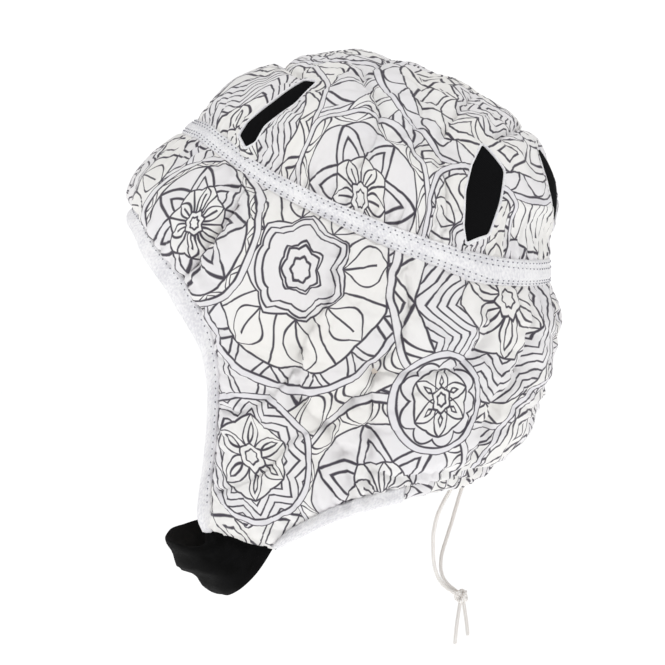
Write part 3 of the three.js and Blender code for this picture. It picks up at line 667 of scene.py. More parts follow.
def cut_cloth(outline, holes, seams, spacing):
    """The flat points and triangles of a pattern piece, with its outline, holes and seams kept as edges."""
    fixed, edges = [], []
    for chain, closed in [(outline, True), *[(h, True) for h in holes], *[(s, False) for s in seams]]:
        start, count = len(fixed), len(chain)
        fixed += list(chain)
        edges += [(start + i, start + (i + 1) % count) for i in range(count if closed else count - 1)]
    fixed = np.array(fixed)
    low, high = outline.min(0), outline.max(0)
    columns = np.arange(low[0], high[0], spacing)
    grid = np.concatenate([
        np.stack([columns + (i % 2) * spacing / 2, np.full(len(columns), y)], 1)
        for i, y in enumerate(np.arange(low[1], high[1], spacing * math.sqrt(3) / 2))
    ])
    grid = grid[inside_outline(grid, outline)]
    for hole in holes:
        grid = grid[~inside_outline(grid, hole)]
    grid = grid[nearest(grid, fixed)[0] > GRID_GAP * spacing]
    found = delaunay_2d_cdt([Vector(p) for p in np.vstack([fixed, grid])], edges, [], 0, 1e-4)
    points = np.array([tuple(p) for p in found[0]])
    triangles = np.array(found[2])
    middles = points[triangles].mean(1)
    keep = inside_outline(middles, outline)
    for hole in holes:
        keep &= ~inside_outline(middles, hole)
    used, triangles = np.unique(triangles[keep], return_inverse=True)
    return points[used], triangles.reshape(-1, 3)


def swell(distance, width):
    """0 at a seam, rising fast and then slowly to 1 at the given distance."""
    return np.sqrt(1 - (1 - np.clip(distance / width, 0, 1)) ** 2)


def slow_rise(distance, width):
    """0 at a taped edge and 1 at the given distance, nearly even in between."""
    return np.clip(distance / width, 0, 1) ** SLOW_RISE


def ripple(points, wavelength, seed, waves=9):
    """Smooth noise from about -1 to 1, the same on each run."""
    rng = np.random.default_rng(seed)
    direction = rng.normal(size=(waves, points.shape[1]))
    size = np.linalg.norm(direction, axis=1, keepdims=True)
    direction /= size * wavelength * rng.uniform(0.7, 1.5, (waves, 1))
    phase = rng.uniform(0, 2 * np.pi, waves)
    return np.sin(2 * np.pi * points @ direction.T + phase).sum(1) / math.sqrt(waves) / 1.4


def folds(along, wavelength, seed, points):
    """Waves along a seam, which stray a little."""
    size, length = PUCKER_STRAY
    return np.sin(2 * np.pi * along / wavelength + size * ripple(points, length, seed))


def puckers(kind, distance, along, points):
    """Small folds that run away from a seam and fade."""
    height, wavelength, reach, seed = kind
    fade = np.exp(-distance / reach) * (1 - np.exp(-distance / PUCKER_START))
    return height * fade * folds(along, wavelength, seed, points)


class Cloth:
    """One padded piece of printed cloth: its flat pattern, and how thick it is where.

    chains are the flat stretches of its outline, in order: the width that a tape hides, how the padding rises
    from it, over what distance, and the points."""

    def __init__(self, chains, holes, creases, tacks, unflatten, flatten):
        self.flatten, self.unflatten = flatten, unflatten
        self.chains = [(*kind, resample(chain, SPACING)) for *kind, chain in chains]
        outline = np.vstack([chain[:-1] for *_, chain in self.chains])
        self.holes = [resample(flatten(*hole.T), SPACING, closed=True) for hole in holes]
        self.creases, self.tacks = creases, tacks
        seams = [resample(flatten(*line.T), SPACING) for _, line in creases]
        self.flat, self.triangles = cut_cloth(outline, self.holes, seams, SPACING)
        self.lining_flat, self.lining_triangles = cut_cloth(outline, self.holes, [], LINING_SPACING)
        self.turn, self.level = unflatten(self.flat)
        self.inside = inside_point(self.turn, self.level)
        self.normal = wall_normal(self.turn, self.level)
        a, b, c = (self.inside[self.triangles[:, k]] for k in range(3))
        if (np.cross(b - a, c - a) * self.normal[self.triangles[:, 0]]).sum() < 0:
            self.triangles = self.triangles[:, ::-1]
        else:
            self.lining_triangles = self.lining_triangles[:, ::-1]
        self.measure()

    def on_wall(self, flat):
        return inside_point(*self.unflatten(flat))

    def measure(self):
        """Works out fullness, from 0 at a seam to 1, the height of the cloth, and how firmly it is held."""
        count = len(self.inside)
        full, wave, off_rim = np.ones(count), np.zeros(count), np.ones(count)
        self.hold = np.zeros(count)
        for margin, rise, width, chain in self.chains:
            far, at = nearest(self.inside, self.on_wall(resample(chain, LINE_SPACING)))
            self.hold = np.maximum(self.hold, far < max(margin, TOUCH))
            far = np.maximum(far - margin, 0)
            full = full * rise(far, width)
            wave += puckers(GATHER, far, at * LINE_SPACING, self.inside)
        for hole in self.holes:
            far = nearest(self.inside, self.on_wall(resample(hole, LINE_SPACING, closed=True)))[0]
            off_rim = off_rim * swell(far - VENT_HEM, VENT_WIDTH)
            self.hold = np.maximum(self.hold, far < VENT_HEM)
        for depth, places in self.creases:
            path = resample(inside_point(*places.T), LINE_SPACING)
            far, at = nearest(self.inside, path)
            full = full * (1 - depth * (1 - swell(far, CREASE_WIDTH)))
            self.hold = np.maximum(self.hold, depth * (far < TOUCH))
            wave += depth * puckers(TUCK, far, lengths_along(path)[at], self.inside)
        self.full = full
        size, *kind = LUMP
        lumps = size * full * ripple(self.inside, *kind)
        self.height = SEAM_HEIGHT + (PUFF - SEAM_HEIGHT) * full + wave + lumps
        self.height = VENT_RIM + (self.height - VENT_RIM) * off_rim
        if self.flatten is crown_flat:
            self.height += crown_rise(self.turn, self.level) * np.maximum(full, 1 - off_rim)
        for tack in self.tacks:
            far = nearest(self.inside, inside_point(*np.array([tack]).T))[0]
            self.height -= sum(depth * np.exp(-((far / radius) ** 2)) for depth, radius in TACK_DIPS)
            self.hold = np.maximum(self.hold, far < SPACING * TACK_HOLD)

    def outer(self):
        return self.inside + self.height[:, None] * self.normal

    def inner(self):
        at = nearest(self.lining_flat, self.flat)[1]
        height = LINING_HEIGHT + LINING_LIFT * (1 - self.full[at])
        return wall_point(*self.unflatten(self.lining_flat), height)


def smooth_line(places):
    return catmull_rom(places, 6) if len(places) > 2 else np.array(places, float)


def mirrored(places):
    return np.array(places, float) * (-1, 1)


def panel_chains(start, end, rise_width, edge_width=EDGE_WIDTH):
    """The outline of a panel between two turns at the band: top, far seam, lower edge and near seam."""
    across = np.linspace(start, end, 300)
    length = line_length(panel_place, across)
    f = np.abs(across)
    to_corner = np.where(f <= FLAP_FRONT, FLAP_FRONT - f, np.maximum(f - FLAP_BACK, 0))
    cover = (TRIM_WIDTH - HIDDEN) * np.clip(to_corner / FLAP_CORNER, 0, 1)
    top = (BAND_WIDTH / 2 - HIDDEN) / length
    bottom = 1 - cover / length
    share = np.linspace(0, 1, 60)

    def flat(turn, at):
        return side_flat(*panel_place(turn, at))

    def seam(k):
        return flat(np.full(len(share), across[k]), top[k] + share * (bottom[k] - top[k]))

    return [
        (HIDDEN, slow_rise, rise_width, flat(across, top)),
        (0, swell, EDGE_WIDTH, seam(-1)),
        (HIDDEN, swell, edge_width, flat(across, bottom)[::-1]),
        (0, swell, EDGE_WIDTH, seam(0)[::-1]),
    ]


def kept_inside(line, chains):
    """A line's flat points that lie inside a panel and clear of its edges."""
    outline = np.vstack([chain[:-1] for *_, chain in chains])
    flat = side_flat(*line.T)
    return line[inside_outline(flat, outline) & (nearest(flat, outline)[0] > LINE_CLEAR * SPACING)]


def side_cloth():
    chains = panel_chains(TEMPLE, 180, SIDE_WIDTH)
    lines = [(depth, kept_inside(smooth_line(line), chains)) for depth, line in CREASES.values()]
    return Cloth(chains, [], lines, TACKS, side_place, side_flat)


def forehead_cloth():
    chains = panel_chains(-TEMPLE, TEMPLE, BROW_WIDTH, BROW_EDGE_WIDTH)
    return Cloth(chains, [], [], [], side_place, side_flat)


def crown_cloth():
    turn = np.linspace(-180, 180, 361)
    level = band_level(turn) * (1 - (BAND_WIDTH / 2 - HIDDEN) / line_length(crown_place, turn))
    left = [(depth, smooth_line(line)) for depth, line in CROWN_CREASES.values()]
    right = [(depth, mirrored(line)) for depth, line in left[1:] + left[:1]]
    lines = [(depth, line[line[:, 1] < band_level(line[:, 0]) - CREASE_END]) for depth, line in left + right]
    holes = list(vent_outlines().values())
    chains = [(HIDDEN, slow_rise, CROWN_WIDTH, crown_flat(turn, level))]
    return Cloth(chains, holes, lines, [], crown_unflat, crown_flat)


def rounded_loop(points):
    """A closed outline with each corner cut and rounded."""
    made = []
    share = np.linspace(0, 1, 5)[:, None]
    for before, here, after in zip(np.roll(points, 1, 0), points, np.roll(points, -1, 0)):
        a, b = here + VENT_CORNER * (before - here), here + VENT_CORNER * (after - here)
        made.append((1 - share) ** 2 * a + 2 * share * (1 - share) * here + share**2 * b)
    return np.vstack(made)


def vent_outlines():
    """Each vent's outline of places, by name."""
    made = {}
    for name, (on_both_sides, outline) in VENTS.items():
        line = rounded_loop(np.array(outline, float))
        if on_both_sides:
            made[name + "_left"] = line
            made[name + "_right"] = mirrored(line)[::-1]
        else:
            made[name] = line
    return made


def boundary(triangles):
    """Edges that one triangle has, in its order."""
    edges = np.concatenate([triangles[:, [0, 1]], triangles[:, [1, 2]], triangles[:, [2, 0]]]).tolist()
    known = {tuple(e) for e in edges}
    return [e for e in edges if (e[1], e[0]) not in known]


def padded_object(name, cloth, outer, inner, shift, materials, mirror=False):
    """A closed padded piece from its outer and inner skins. shift moves its print."""
    n = len(outer)
    points = np.vstack([outer, inner])
    lining = cloth.lining_triangles + n
    same = n + nearest(cloth.flat, cloth.lining_flat)[1]
    wall = [[b, a, *dict.fromkeys((same[a], same[b]))] for a, b in boundary(cloth.triangles)]
    faces = [*cloth.triangles.tolist(), *lining.tolist(), *wall]
    if mirror:
        points = points * (-1, 1, 1)
        faces = [face[::-1] for face in faces]
    slots = [0] * len(cloth.triangles) + [1] * len(lining) + [0] * len(wall)
    flat = np.vstack([cloth.flat, cloth.lining_flat]) + shift
    uv = flat[np.concatenate(faces)] * MM
    return new_object(name, make_mesh(name, points, faces, uv, slots, materials))


def inflate(cloth):
    """The outer skin blown out a little between its seams by the cloth simulation, in head millimetres."""
    points = cloth.outer()
    mesh = make_mesh("skin", points, cloth.triangles.tolist())
    obj = new_object("skin", mesh)
    pins = obj.vertex_groups.new(name="pins")
    hold = np.round(cloth.hold, 1)
    for weight in np.unique(hold[hold > 0]):
        pins.add(np.flatnonzero(hold == weight).tolist(), float(weight), "REPLACE")
    modifier = obj.modifiers.new("cloth", "CLOTH")
    for name, value in CLOTH_SETTINGS.items():
        setattr(modifier.settings, name, value)
    modifier.settings.effector_weights.gravity = 0
    modifier.point_cache.frame_end = SIM_FRAMES
    scene = bpy.context.scene
    for frame_number in range(1, SIM_FRAMES + 1):
        scene.frame_set(frame_number)
    graph = bpy.context.evaluated_depsgraph_get()
    moved = np.empty(3 * len(points))
    obj.evaluated_get(graph).data.vertices.foreach_get("co", moved)
    bpy.data.objects.remove(obj)
    bpy.data.meshes.remove(mesh)
    scene.frame_set(1)
    step = moved.reshape(-1, 3) / MM + (0, 0, DOME) - points
    far = np.linalg.norm(step, axis=1, keepdims=True)
    return points + step * np.minimum(1, SWELL_CAP / np.maximum(far, 1e-6))


# Trims


def strip_sections(turns, place, section, shape):
    """The sections of a strip. shape changes across and height for each point of the section."""
    columns = []
    for point in section:
        across, height = shape(*(np.full(len(turns), float(value)) for value in point))
        columns.append(wall_point(*place(turns, across), height))
    return np.stack(columns, 1)


def rounded_tips(turns, *ends):
    """Narrows a trim to a round tip at the given turns."""
    to_end = np.min([np.abs(turns - end) for end in ends], axis=0) / TIP
    scale = np.maximum(swell(to_end, 1), TIP_LEAST)
    x, z = TIP_CENTRE

    def shape(across, height):
        return x + (across - x) * scale, z + (height - z) * np.sqrt(scale)

    return shape


def rumpled(turns, place):
    """Makes a tape a little uneven in width and height."""
    line = inside_point(*place(turns, np.zeros(len(turns))))
    width, lift = (size * ripple(line, *kind) for size, *kind in (RUMPLE_WIDTH, RUMPLE_LIFT))

    def shape(across, height):
        return across * (1 + width), height + lift * (height > 1)

    return shape


def make_tapes(tape, lining):
    """The tape over the seam round the cap, and those that bind the face's edge and the neck's."""
    turns = np.linspace(-180, 180, 361)[:-1]
    sections = strip_sections(turns, band_place, BAND_SECTION, rumpled(turns, band_place))
    finished(loft("brim_tape", sections, tape, loop=True), "edge_tape", "brim_band")

    end = FLAP_FRONT + TAPE_END
    turns = along_edge(-end, end, TAPE_STEP)
    sections = strip_sections(turns, edge_place, EDGE_SECTION, rounded_tips(turns, -end, end))
    face = loft("face_tape", sections, tape, lined=FACE_LINED, lining=lining)
    finished(face, "edge_tape", "face_binding")

    for side, name in ((1, "left"), (-1, "right")):
        start = side * (FLAP_BACK - TAPE_END)
        turns = along_edge(start, side * CHANNEL_START, TAPE_STEP)[::side]
        sections = strip_sections(turns, edge_place, EDGE_SECTION, rounded_tips(turns, start))
        neck = loft("neck_tape_" + name, sections, tape, lined=NECK_LINED, lining=lining)
        finished(neck, "edge_tape", "neck_binding_" + name)


def make_channel(cloth_print):
    """The gathered casing that the drawcord runs in."""
    left, right = along_edge(CHANNEL_START, 180, CHANNEL_STEP), along_edge(-180, -CHANNEL_START, CHANNEL_STEP)
    turns = np.concatenate([left, right[1:]])
    path = inside_point(*panel_place(turns, 1))
    gather = folds(lengths_along(path), *CHANNEL_GATHER, path)
    flat = side_flat(*edge_place(np.abs(turns), CHANNEL_SECTION[0][0]))
    flat[turns < 0, 0] = 2 * flat[turns > 0, 0].max() - flat[turns < 0, 0]

    def shape(across, height):
        start, rise = CHANNEL_FOLD_RISE
        fold = np.clip((height - start) / rise, 0, 1) * gather
        return across + CHANNEL_FOLD[0] * fold, height + CHANNEL_FOLD[1] * fold

    sections = strip_sections(turns, edge_place, CHANNEL_SECTION, shape)
    channel = loft("channel_cloth", sections, cloth_print, flat=flat)
    finished(channel, "printed_cloth", "drawcord_channel")


def make_hem(name, outline, material):
    """The turned edge round a vent."""
    line = resample(crown_flat(*outline.T), SPACING, closed=True)
    ahead = unit(np.roll(line, -1, 0) - np.roll(line, 1, 0))
    out = np.stack([ahead[:, 1], -ahead[:, 0]], 1)
    if inside_outline(line[:1] + out[:1], line)[0]:
        out = -out
    columns = []
    for across, height in HEM_SECTION:
        place = crown_unflat(line + across * out)
        columns.append(wall_point(*place, height + crown_rise(*place)))
    finished(loft("vent_hem_" + name, np.stack(columns, 1), material, loop=True), "printed_cloth")


def make_net(name, outline, material):
    """The net behind a vent, sewn in under its hem."""
    flat = crown_flat(*outline.T)
    middle = flat.mean(0)
    edge = middle + (1 + NET_OVERLAP / np.linalg.norm(flat - middle, axis=1, keepdims=True)) * (flat - middle)
    chains = [(0, swell, EDGE_WIDTH, np.vstack([edge, edge[:1]]))]
    net = Cloth(chains, [], [], [], crown_unflat, crown_flat)
    rise = NET_EDGE + NET_RISE * net.full + crown_rise(net.turn, net.level)
    front = net.inside + rise[:, None] * net.normal
    back = wall_point(*crown_unflat(net.lining_flat), np.full(len(net.lining_flat), NET_BACK))
    obj = padded_object("vent_mesh_" + name, net, front, back, (0, 0), [material, material])
    finished(obj, "vent_net", "vent_net_" + name)


# Chin strap


def strap_edges():
    """The strap's front and back edges from one flap to the other."""
    above, height = STRAP_ENDS
    corners = []
    for from_turn in (FLAP_FRONT, FLAP_BACK):
        turn, level = lower_edge(np.array([float(from_turn)]))
        corners.append(wall_point(turn, level - above, np.array([height]))[0])
    left = np.vstack([[corners], STRAP])
    right = left[:-1] * (-1, 1, 1)
    right[1:, 1] += STRAP_TIGHTER
    rows = np.vstack([left, right[::-1]])
    return catmull_rom(rows[:, 0], STRAP_STEPS), catmull_rom(rows[:, 1], STRAP_STEPS)


def make_strap(material):
    """A flat ring of cloth round each place along the strap, with long folds and turned hems."""
    front, back = strap_edges()
    middle = (front + back) / 2
    out = unit(np.cross(front - back, np.gradient(middle, axis=0)))
    free = np.sin(np.pi * np.arange(len(front)) / (len(front) - 1))
    size, *kind = STRAP_STRAY
    lean = size * ripple(middle, *kind) + STRAP_FOLD_START
    wide, deep = STRAP_ROUND
    columns = []
    for angle in np.linspace(0, 2 * np.pi, STRAP_SIDES, endpoint=False):
        cosine, sine = math.cos(angle), math.sin(angle)
        across = 0.5 + 0.5 * np.sign(cosine) * abs(cosine) ** wide
        bow = math.sin(math.pi * across)
        base = back + (front - back) * across
        fold = STRAP_CUP * bow + STRAP_FOLD * bow**2 * np.sin(2 * np.pi * STRAP_FOLDS * across + lean)
        for size, *kind, stretch in STRAP_RUMPLES:
            fold = fold + size * ripple(base * stretch, *kind)
        height, width = STRAP_HEM
        hem = height * sum(np.exp(-(((across - at) / width) ** 2)) for at in STRAP_HEM_PLACES)
        half = np.sign(sine) * abs(sine) ** deep * (STRAP_THICKNESS / 2 + hem)
        columns.append(base + (free * fold + half)[:, None] * out)
    strap = loft("chin_strap_cloth", np.stack(columns, 1), material)
    finished(strap, "strap_cloth", "chin_strap")


# Stitches


def stitches(name, path, normal, middles, length, radius, material):
    """Short round-ended rods along a path, joined in one mesh."""
    k = nearest(middles, path)[1]
    up, ahead = normal[k], unit(np.gradient(path, axis=0)[k])
    side = np.cross(up, ahead)
    ring = np.arange(ROD_SIDES)
    angle = 2 * np.pi * ring[:, None] / ROD_SIDES
    spoke = radius * (np.cos(angle) * side[:, None] + np.sin(angle) * up[:, None])
    rings = [(middles + along * length * ahead)[:, None] + size * spoke for along, size in ROD]
    points = np.stack(rings, 1).reshape(-1, 3)
    last = (len(ROD) - 1) * ROD_SIDES
    rod = [
        (start + a, start + b, start + b + ROD_SIDES, start + a + ROD_SIDES)
        for start in range(0, last, ROD_SIDES)
        for a, b in zip(ring, np.roll(ring, -1))
    ]
    rod += [ring[::-1], last + ring]
    starts = range(0, len(points), last + ROD_SIDES)
    faces = [[start + corner for corner in face] for start in starts for face in rod]
    uv = points[np.concatenate(faces)][:, [0, 2]] * MM
    finished(new_object(name, make_mesh(name, points, faces, uv, materials=[material])), "edge_tape")


def stitch_row(name, turns, place, across, height, materials):
    """A row of thread between needle holes, which show as small dark dots of painted shade."""
    turn, level = place(turns, np.full(len(turns), float(across)))
    normal = wall_normal(turn, level)
    path = wall_point(turn, level, np.full(len(turns), float(height)))
    thread, shade = materials
    pitch = resample(path, STITCH + STITCH_GAP)
    between = (pitch[1:] + pitch[:-1]) / 2
    stitches(name + "_thread", path, normal, between, STITCH, STITCH_RADIUS, thread)
    # dark dots of painted shade where the needle holes are
    stitches(name + "_hole_shade", path, normal, pitch[1:-1], *NEEDLE_HOLE, shade)


def make_stitches(materials):
    """Four rows along the band's tape and one along the face tape."""
    turns = np.linspace(-180, 180, 1441)
    for number, row in enumerate(BAND_ROWS):
        stitch_row(f"brim_{number + 1}", turns, band_place, *row, materials)
    end = FLAP_FRONT - FACE_ROW_END
    stitch_row("face_1", along_edge(-end, end, FACE_ROW_STEP), edge_place, *FACE_ROW, materials)


# Materials. Lengths in them are millimetres of cloth.


def joined(node, inputs, values, output=0):
    """The field that a node gives, with fields or plain values in its inputs."""
    for socket, value in zip(inputs, values):
        if isinstance(value, Field):
            socket.id_data.links.new(value.socket, socket)
        else:
            socket.default_value = value
    return Field(node.outputs[output])


def by_math(operation):
    """A method of Field that a math node carries out."""
    return lambda self, *others: self.math(operation, *others)


class Field:
    """A number, vector or colour at each point of a material, worked out by nodes."""

    def __init__(self, socket):
        self.socket = socket

    def add(self, kind):
        return self.socket.id_data.nodes.new("ShaderNode" + kind)

    def math(self, operation, *others):
        node = self.add("Math")
        node.operation = operation
        return joined(node, node.inputs, (self, *others))

    __add__, __sub__, __mul__, __truediv__ = map(by_math, ("ADD", "SUBTRACT", "MULTIPLY", "DIVIDE"))
    __abs__, __mod__ = map(by_math, ("ABSOLUTE", "FLOORED_MODULO"))
    min, max, floor, sin = map(by_math, ("MINIMUM", "MAXIMUM", "FLOOR", "SINE"))
    above = by_math("GREATER_THAN")

    def vector(self, operation, *others):
        """The vector or, for a distance, the number that a vector node gives."""
        node = self.add("VectorMath")
        node.operation = operation
        return joined(node, node.inputs, (self, *others), "Value" if operation == "DISTANCE" else "Vector")

    def split(self):
        """The three numbers of a vector."""
        node = self.add("SeparateXYZ")
        joined(node, node.inputs, [self])
        return [Field(output) for output in node.outputs]

    def wave(self, length):
        """A sine that repeats after the length."""
        return (self * (2 * math.pi / length)).sin()

    def ramp(self, low, high, to_low=0.0, to_high=1.0):
        """A smooth step between two values."""
        node = self.add("MapRange")
        node.interpolation_type = "SMOOTHSTEP"
        return joined(node, node.inputs, (self, low, high, to_low, to_high))

    def mix(self, first, second, kind="FLOAT"):
        """The first value where this is 0 and the second where it is 1."""
        node = self.add("Mix")
        node.data_type = kind
        k = ("FLOAT", "VECTOR", "RGBA").index(kind)
        inputs = (node.inputs[0], node.inputs[2 * k + 2], node.inputs[2 * k + 3])
        return joined(node, inputs, (self, first, second), k)

    def tint(self, first, second):
        """A mix of colours."""
        colors = (value if isinstance(value, Field) else (*value, 1) for value in (first, second))
        return self.mix(*colors, "RGBA")

    def noise(self, wavelength, detail, output=0):
        """Smooth noise from 0 to 1 over a vector of millimetres. Output 1 has three such numbers."""
        node = self.add("TexNoise")
        node.inputs["Scale"].default_value = 1 / wavelength
        node.inputs["Detail"].default_value = detail
        return joined(node, [node.inputs["Vector"]], [self], output)


def fabric(name, color, roughness, sheen, build, specular=0.3):
    """A cloth material. build(place) gives its colour and its height in millimetres at each place."""
    material = bpy.data.materials.new(name)
    material.use_nodes = True
    tree = material.node_tree
    shader = tree.nodes["Principled BSDF"]
    shader.inputs["Base Color"].default_value = (*color, 1)
    shader.inputs["Roughness"].default_value = roughness
    shader.inputs["Specular IOR Level"].default_value = specular
    shader.inputs["Sheen Weight"].default_value = sheen
    shader.inputs["Sheen Roughness"].default_value = 0.5
    shader.inputs["Sheen Tint"].default_value = (1, 1, 1, 1)
    flat = tree.nodes.new("ShaderNodeUVMap")
    flat.uv_map = "cloth"
    shade, height = build(Field(flat.outputs[0]).vector("MULTIPLY", (1 / MM, 1 / MM, 0)))
    bump = tree.nodes.new("ShaderNodeBump")
    normal = joined(bump, (bump.inputs["Distance"], bump.inputs["Height"]), (MM, height))
    joined(shader, (shader.inputs["Base Color"], shader.inputs["Normal"]), (shade, normal))
    return material


def knit(place, width, height):
    """Rows of stitches of a fine knit, from about -1 to 1."""
    x, y, _ = place.split()
    return ((x * (2 * math.pi / width) + y.wave(height) * 0.25).sin() + y.wave(height / 2) * 0.5) * 0.66


def outlined(distance):
    """How far a point is from an outline drawn with two lines, the second one inside."""
    return abs(distance).min(abs(distance + DOUBLE))


def print_color(place):
    """The ground's colour with the printed lines on it."""
    reach, length = WOBBLE
    stray = place.noise(length, 1, 1).vector("SUBTRACT", (0.5, 0.5, 0.5))
    point = place.vector("ADD", stray.vector("MULTIPLY", (4 * reach, 4 * reach, 0)))
    spot, kind = GROUND
    for x, y, radius, ring, cell, first in ROSETTES:
        covered = point.vector("DISTANCE", (x, y, 0)).math("LESS_THAN", radius)
        spot = covered.mix(spot, (x, y, radius), "VECTOR")
        kind = covered.mix(kind, (ring, cell, first), "VECTOR")
    x, y, radius = spot.split()
    ring, cell, first = kind.split()
    px, py, _ = point.split()
    dx, dy = px - x, py - y
    angle = dy.math("ARCTAN2", dx)
    to_border = (dx * dx + dy * dy).math("SQRT")
    points = (radius / ring + 5).floor().min(9)
    zigzag = abs((angle * points / (2 * math.pi)) % 1 - 0.5) * 4 - 1
    reach = to_border * (zigzag * (radius / to_border - 1).math("TANH") * STAR + 1)
    number = (reach / ring).floor()
    up = reach - number * ring
    count = ((number + 0.5) * ring * (2 * math.pi) / cell).math("ROUND").max(6)
    turn = angle * count / (2 * math.pi) + (number % 2) * 0.5
    across = (turn % 1 - 0.5) * reach * (2 * math.pi) / count
    side = abs(across)
    half = reach * math.pi / count
    share = up / ring
    middle = ring * 0.5

    bow = (share * math.pi).sin() * half
    petal = outlined(side - (share.math("POWER", 0.7) * math.pi).sin() * half * 0.94)
    slope = up + side * 0.85
    chevron = abs((slope / CHEVRON) % 1 - 0.5) * CHEVRON * 0.76
    from_middle = side / half + abs(up - middle) / middle
    kite = outlined((from_middle - 1) * middle * 0.66)
    arch_reach = (across * across + up * up).math("SQRT")
    arch = outlined(arch_reach - ring * 0.94).min(abs(arch_reach - ring * 0.42))
    leaf = abs(side - bow * 0.62).min(share.above(0.78).mix(side, ring)).min(half - side)
    tooth = outlined((side / half + share - 1) * ring * 0.45)

    style = (number + first) % MOTIFS
    line = petal
    for number_of, motif in enumerate((chevron, kite, arch, leaf, tooth)):
        line = style.above(number_of + 0.5).mix(line, motif)
    line = line.min(up).min(ring - up)
    hub = ring * HUB
    line = reach.above(hub).mix(abs(reach - hub * 0.5), line).min(abs(reach - hub))
    line = (radius - to_border).above(DOUBLE).mix(ring, line).min(outlined(to_border - radius))
    change, length = LINE_CHANGE
    width = place.noise(length, 1) * change + (LINE - change) / 2
    ink = line.ramp(width - LINE_BLUR, width + LINE_BLUR, 1.0, 0.0)
    ground = place.noise(SHADE_LENGTH, 1).ramp(0.35, 0.7).tint(IVORY, IVORY_PALE)
    ground = (radius - to_border).ramp(DOUBLE - 0.1, DOUBLE + 0.1, 0.45, 0.0).tint(ground, LILAC)
    ground = (style % 2).above(0.5).mix(0.0, 0.4).tint(ground, LILAC)
    return ink.tint(ground, INK)


def printed_cloth(place):
    fibre, rumple = place.noise(0.35, 3), place.noise(6, 2)
    height = knit(place, 0.55, 0.8) * 0.03 + fibre * 0.06 + rumple * 0.22
    return print_color(place), height


def lining_cloth(place):
    fibre, shade = place.noise(0.4, 3), place.noise(18, 2)
    color = shade.ramp(0.3, 0.7).tint((0.80, 0.72, 0.64), (0.86, 0.79, 0.72))
    return color, knit(place, 0.8, 1.0) * 0.05 + fibre * 0.05


def woven_tape(place):
    x, y, _ = place.split()
    fibre, speck, rumple, shade = (place.noise(*kind) for kind in ((0.3, 3), (1.2, 2), (5, 2), (14, 2)))
    ribs = x.wave(0.7) * y.wave(0.9)
    color = (shade * 0.4 + speck * 0.6).ramp(0.33, 0.62).tint((0.73, 0.725, 0.76), (0.93, 0.925, 0.935))
    return color, ribs * 0.04 + fibre * 0.05 + rumple * 0.25


def brushed_black(place):
    fibre, patch = place.noise(0.35, 4), place.noise(7, 3)
    worn = (fibre * 0.5 + patch * 0.5).ramp(0.35, 0.75)
    color = worn.tint((0.0015, 0.0015, 0.0015), (0.006, 0.006, 0.0065))
    return color, knit(place, 0.6, 0.9) * 0.04 + fibre * 0.12 + patch * 0.3


def fine_net(place):
    x, y, _ = place.split()
    holes = ((x + y).wave(1.3) * (x - y).wave(1.3)).ramp(-0.2, 0.5)
    # the holes are painted darker than the black threads: painted shade seen through them
    return holes.tint((0.009, 0.009, 0.01), (0.002, 0.002, 0.002)), holes * -0.35


def braided_cord(place):
    x, y, _ = place.split()
    braid = (x + y * 0.55).wave(1.15).max((x - y * 0.55).wave(1.15))
    # the low grooves between the strands are painted darker and browner: painted shade
    color = braid.ramp(-0.3, 0.9).tint((0.74, 0.67, 0.62), (1, 0.99, 0.97))
    return color, braid * 0.12 + place.noise(0.25, 3) * 0.05


def mottled(wavelength, dark, light, bump):
    """A look in two tones, which follow one noise."""

    def build(place):
        patch = place.noise(wavelength, 2)
        return patch.ramp(0.3, 0.7).tint(dark, light), patch * bump

    return build


# Stage


def add_floor():
    mesh = bpy.data.meshes.new("floor")
    signs = ((-1, -1), (1, -1), (1, 1), (-1, 1))
    corners = [(x * FLOOR_REACH, y * FLOOR_REACH, FLOOR_LEVEL) for x, y in signs]
    mesh.from_pydata(corners, [], [(0, 1, 2, 3)])
    mesh.uv_layers.new(name="cloth").data.foreach_set("uv", np.array(corners)[:, :2].ravel())
    grain = mottled(40, (0.93, 0.93, 0.93), (0.95, 0.95, 0.95), 0.02)
    board = fabric("floor", (0.94, 0.94, 0.94), 0.9, 0, grain)
    shader = board.node_tree.nodes["Principled BSDF"]
    shader.inputs["Emission Color"].default_value = (1, 1, 1, 1)
    shader.inputs["Emission Strength"].default_value = FLOOR_GLOW
    mesh.materials.append(board)
    new_object("floor", mesh)


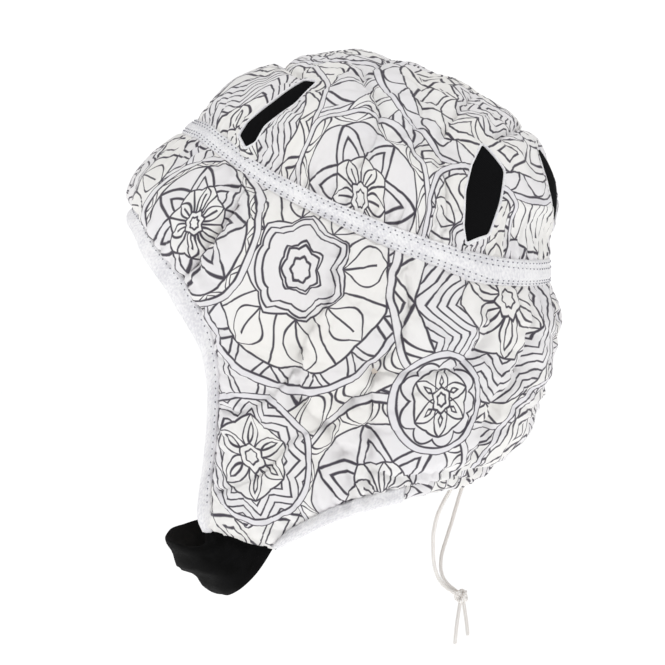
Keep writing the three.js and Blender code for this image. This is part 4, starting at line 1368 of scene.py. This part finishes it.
def add_lights():
    """A white room whose walls look brighter than the light that they give, and three soft lights."""
    world = bpy.data.worlds.new("studio")
    world.use_nodes = True
    tree = world.node_tree
    background = tree.nodes["Background"]
    background.inputs["Color"].default_value = (1, 1, 1, 1)
    seen = Field(tree.nodes.new("ShaderNodeLightPath").outputs["Is Camera Ray"])
    joined(background, [background.inputs["Strength"]], [seen.mix(ROOM_LIGHT, ROOM_WHITE)])
    scene = bpy.context.scene
    scene.world = world
    for name, place, energy, size in LAMPS:
        data = bpy.data.lights.new(name, "AREA")
        data.energy = energy
        data.size = size
        lamp = new_object(name, data)
        lamp.location = place
        lamp.rotation_euler = (LIT_POINT - Vector(place)).to_track_quat("-Z", "Y").to_euler()
    scene.view_settings.view_transform = "Standard"


add_camera()
cord_yarn = fabric("cord_yarn", (0.82, 0.79, 0.76), 0.8, 0.2, braided_cord)
make_knot(cord_yarn)
for side in STRANDS:
    make_cord(side, cord_yarn)

cloth_print = fabric("printed_cloth", (0.87, 0.86, 0.85), 0.82, 0.15, printed_cloth)
lining = fabric("lining", (0.8, 0.76, 0.7), 0.9, 0.2, lining_cloth)
hem_cloth = fabric("hem_cloth", (0.86, 0.84, 0.82), 0.85, 0.2, woven_tape)
tape = fabric("tape", (0.88, 0.88, 0.92), 0.75, 0.2, woven_tape)
net_black = fabric("net_black", (0.006, 0.006, 0.007), 0.9, 0, fine_net, specular=0.05)
strap_black = fabric("strap_black", (0.004, 0.004, 0.004), 0.8, 0, brushed_black, specular=0.06)
thread_look = mottled(0.3, (0.78, 0.78, 0.82), (0.87, 0.87, 0.9), 0.05)
thread = fabric("thread", (0.8, 0.8, 0.86), 0.6, 0.1, thread_look)
# the needle holes' dark dots: painted shade
hole_shade_look = mottled(0.4, (0.1, 0.1, 0.13), (0.3, 0.3, 0.34), 0.05)
needle_hole_shade = fabric("needle_hole_shade", (0.2, 0.2, 0.24), 0.9, 0, hole_shade_look)

cloths = {"crown": crown_cloth(), "side": side_cloth(), "forehead": forehead_cloth()}
skins = {name: (inflate(cloth), cloth.inner()) for name, cloth in cloths.items()}
for name, of, shift, mirror, nodes in (
    ("crown_cloth", "crown", CROWN_SHIFT, False, ("crown_front", "crown_back")),
    ("side_cloth_left", "side", (0, 0), False, ("side_panel_left",)),
    ("side_cloth_right", "side", RIGHT_SHIFT, True, ("side_panel_right",)),
    ("forehead_cloth", "forehead", (0, 0), False, ("forehead_pad",)),
):
    padded = padded_object(name, cloths[of], *skins[of], shift, [cloth_print, lining], mirror)
    finished(padded, "printed_cloth", *nodes)
make_tapes(tape, lining)
make_channel(cloth_print)
for name, outline in vent_outlines().items():
    make_hem(name, outline, hem_cloth)
    make_net(name, outline, net_black)
make_strap(strap_black)
make_stitches((thread, needle_hole_shade))
add_floor()
add_lights()
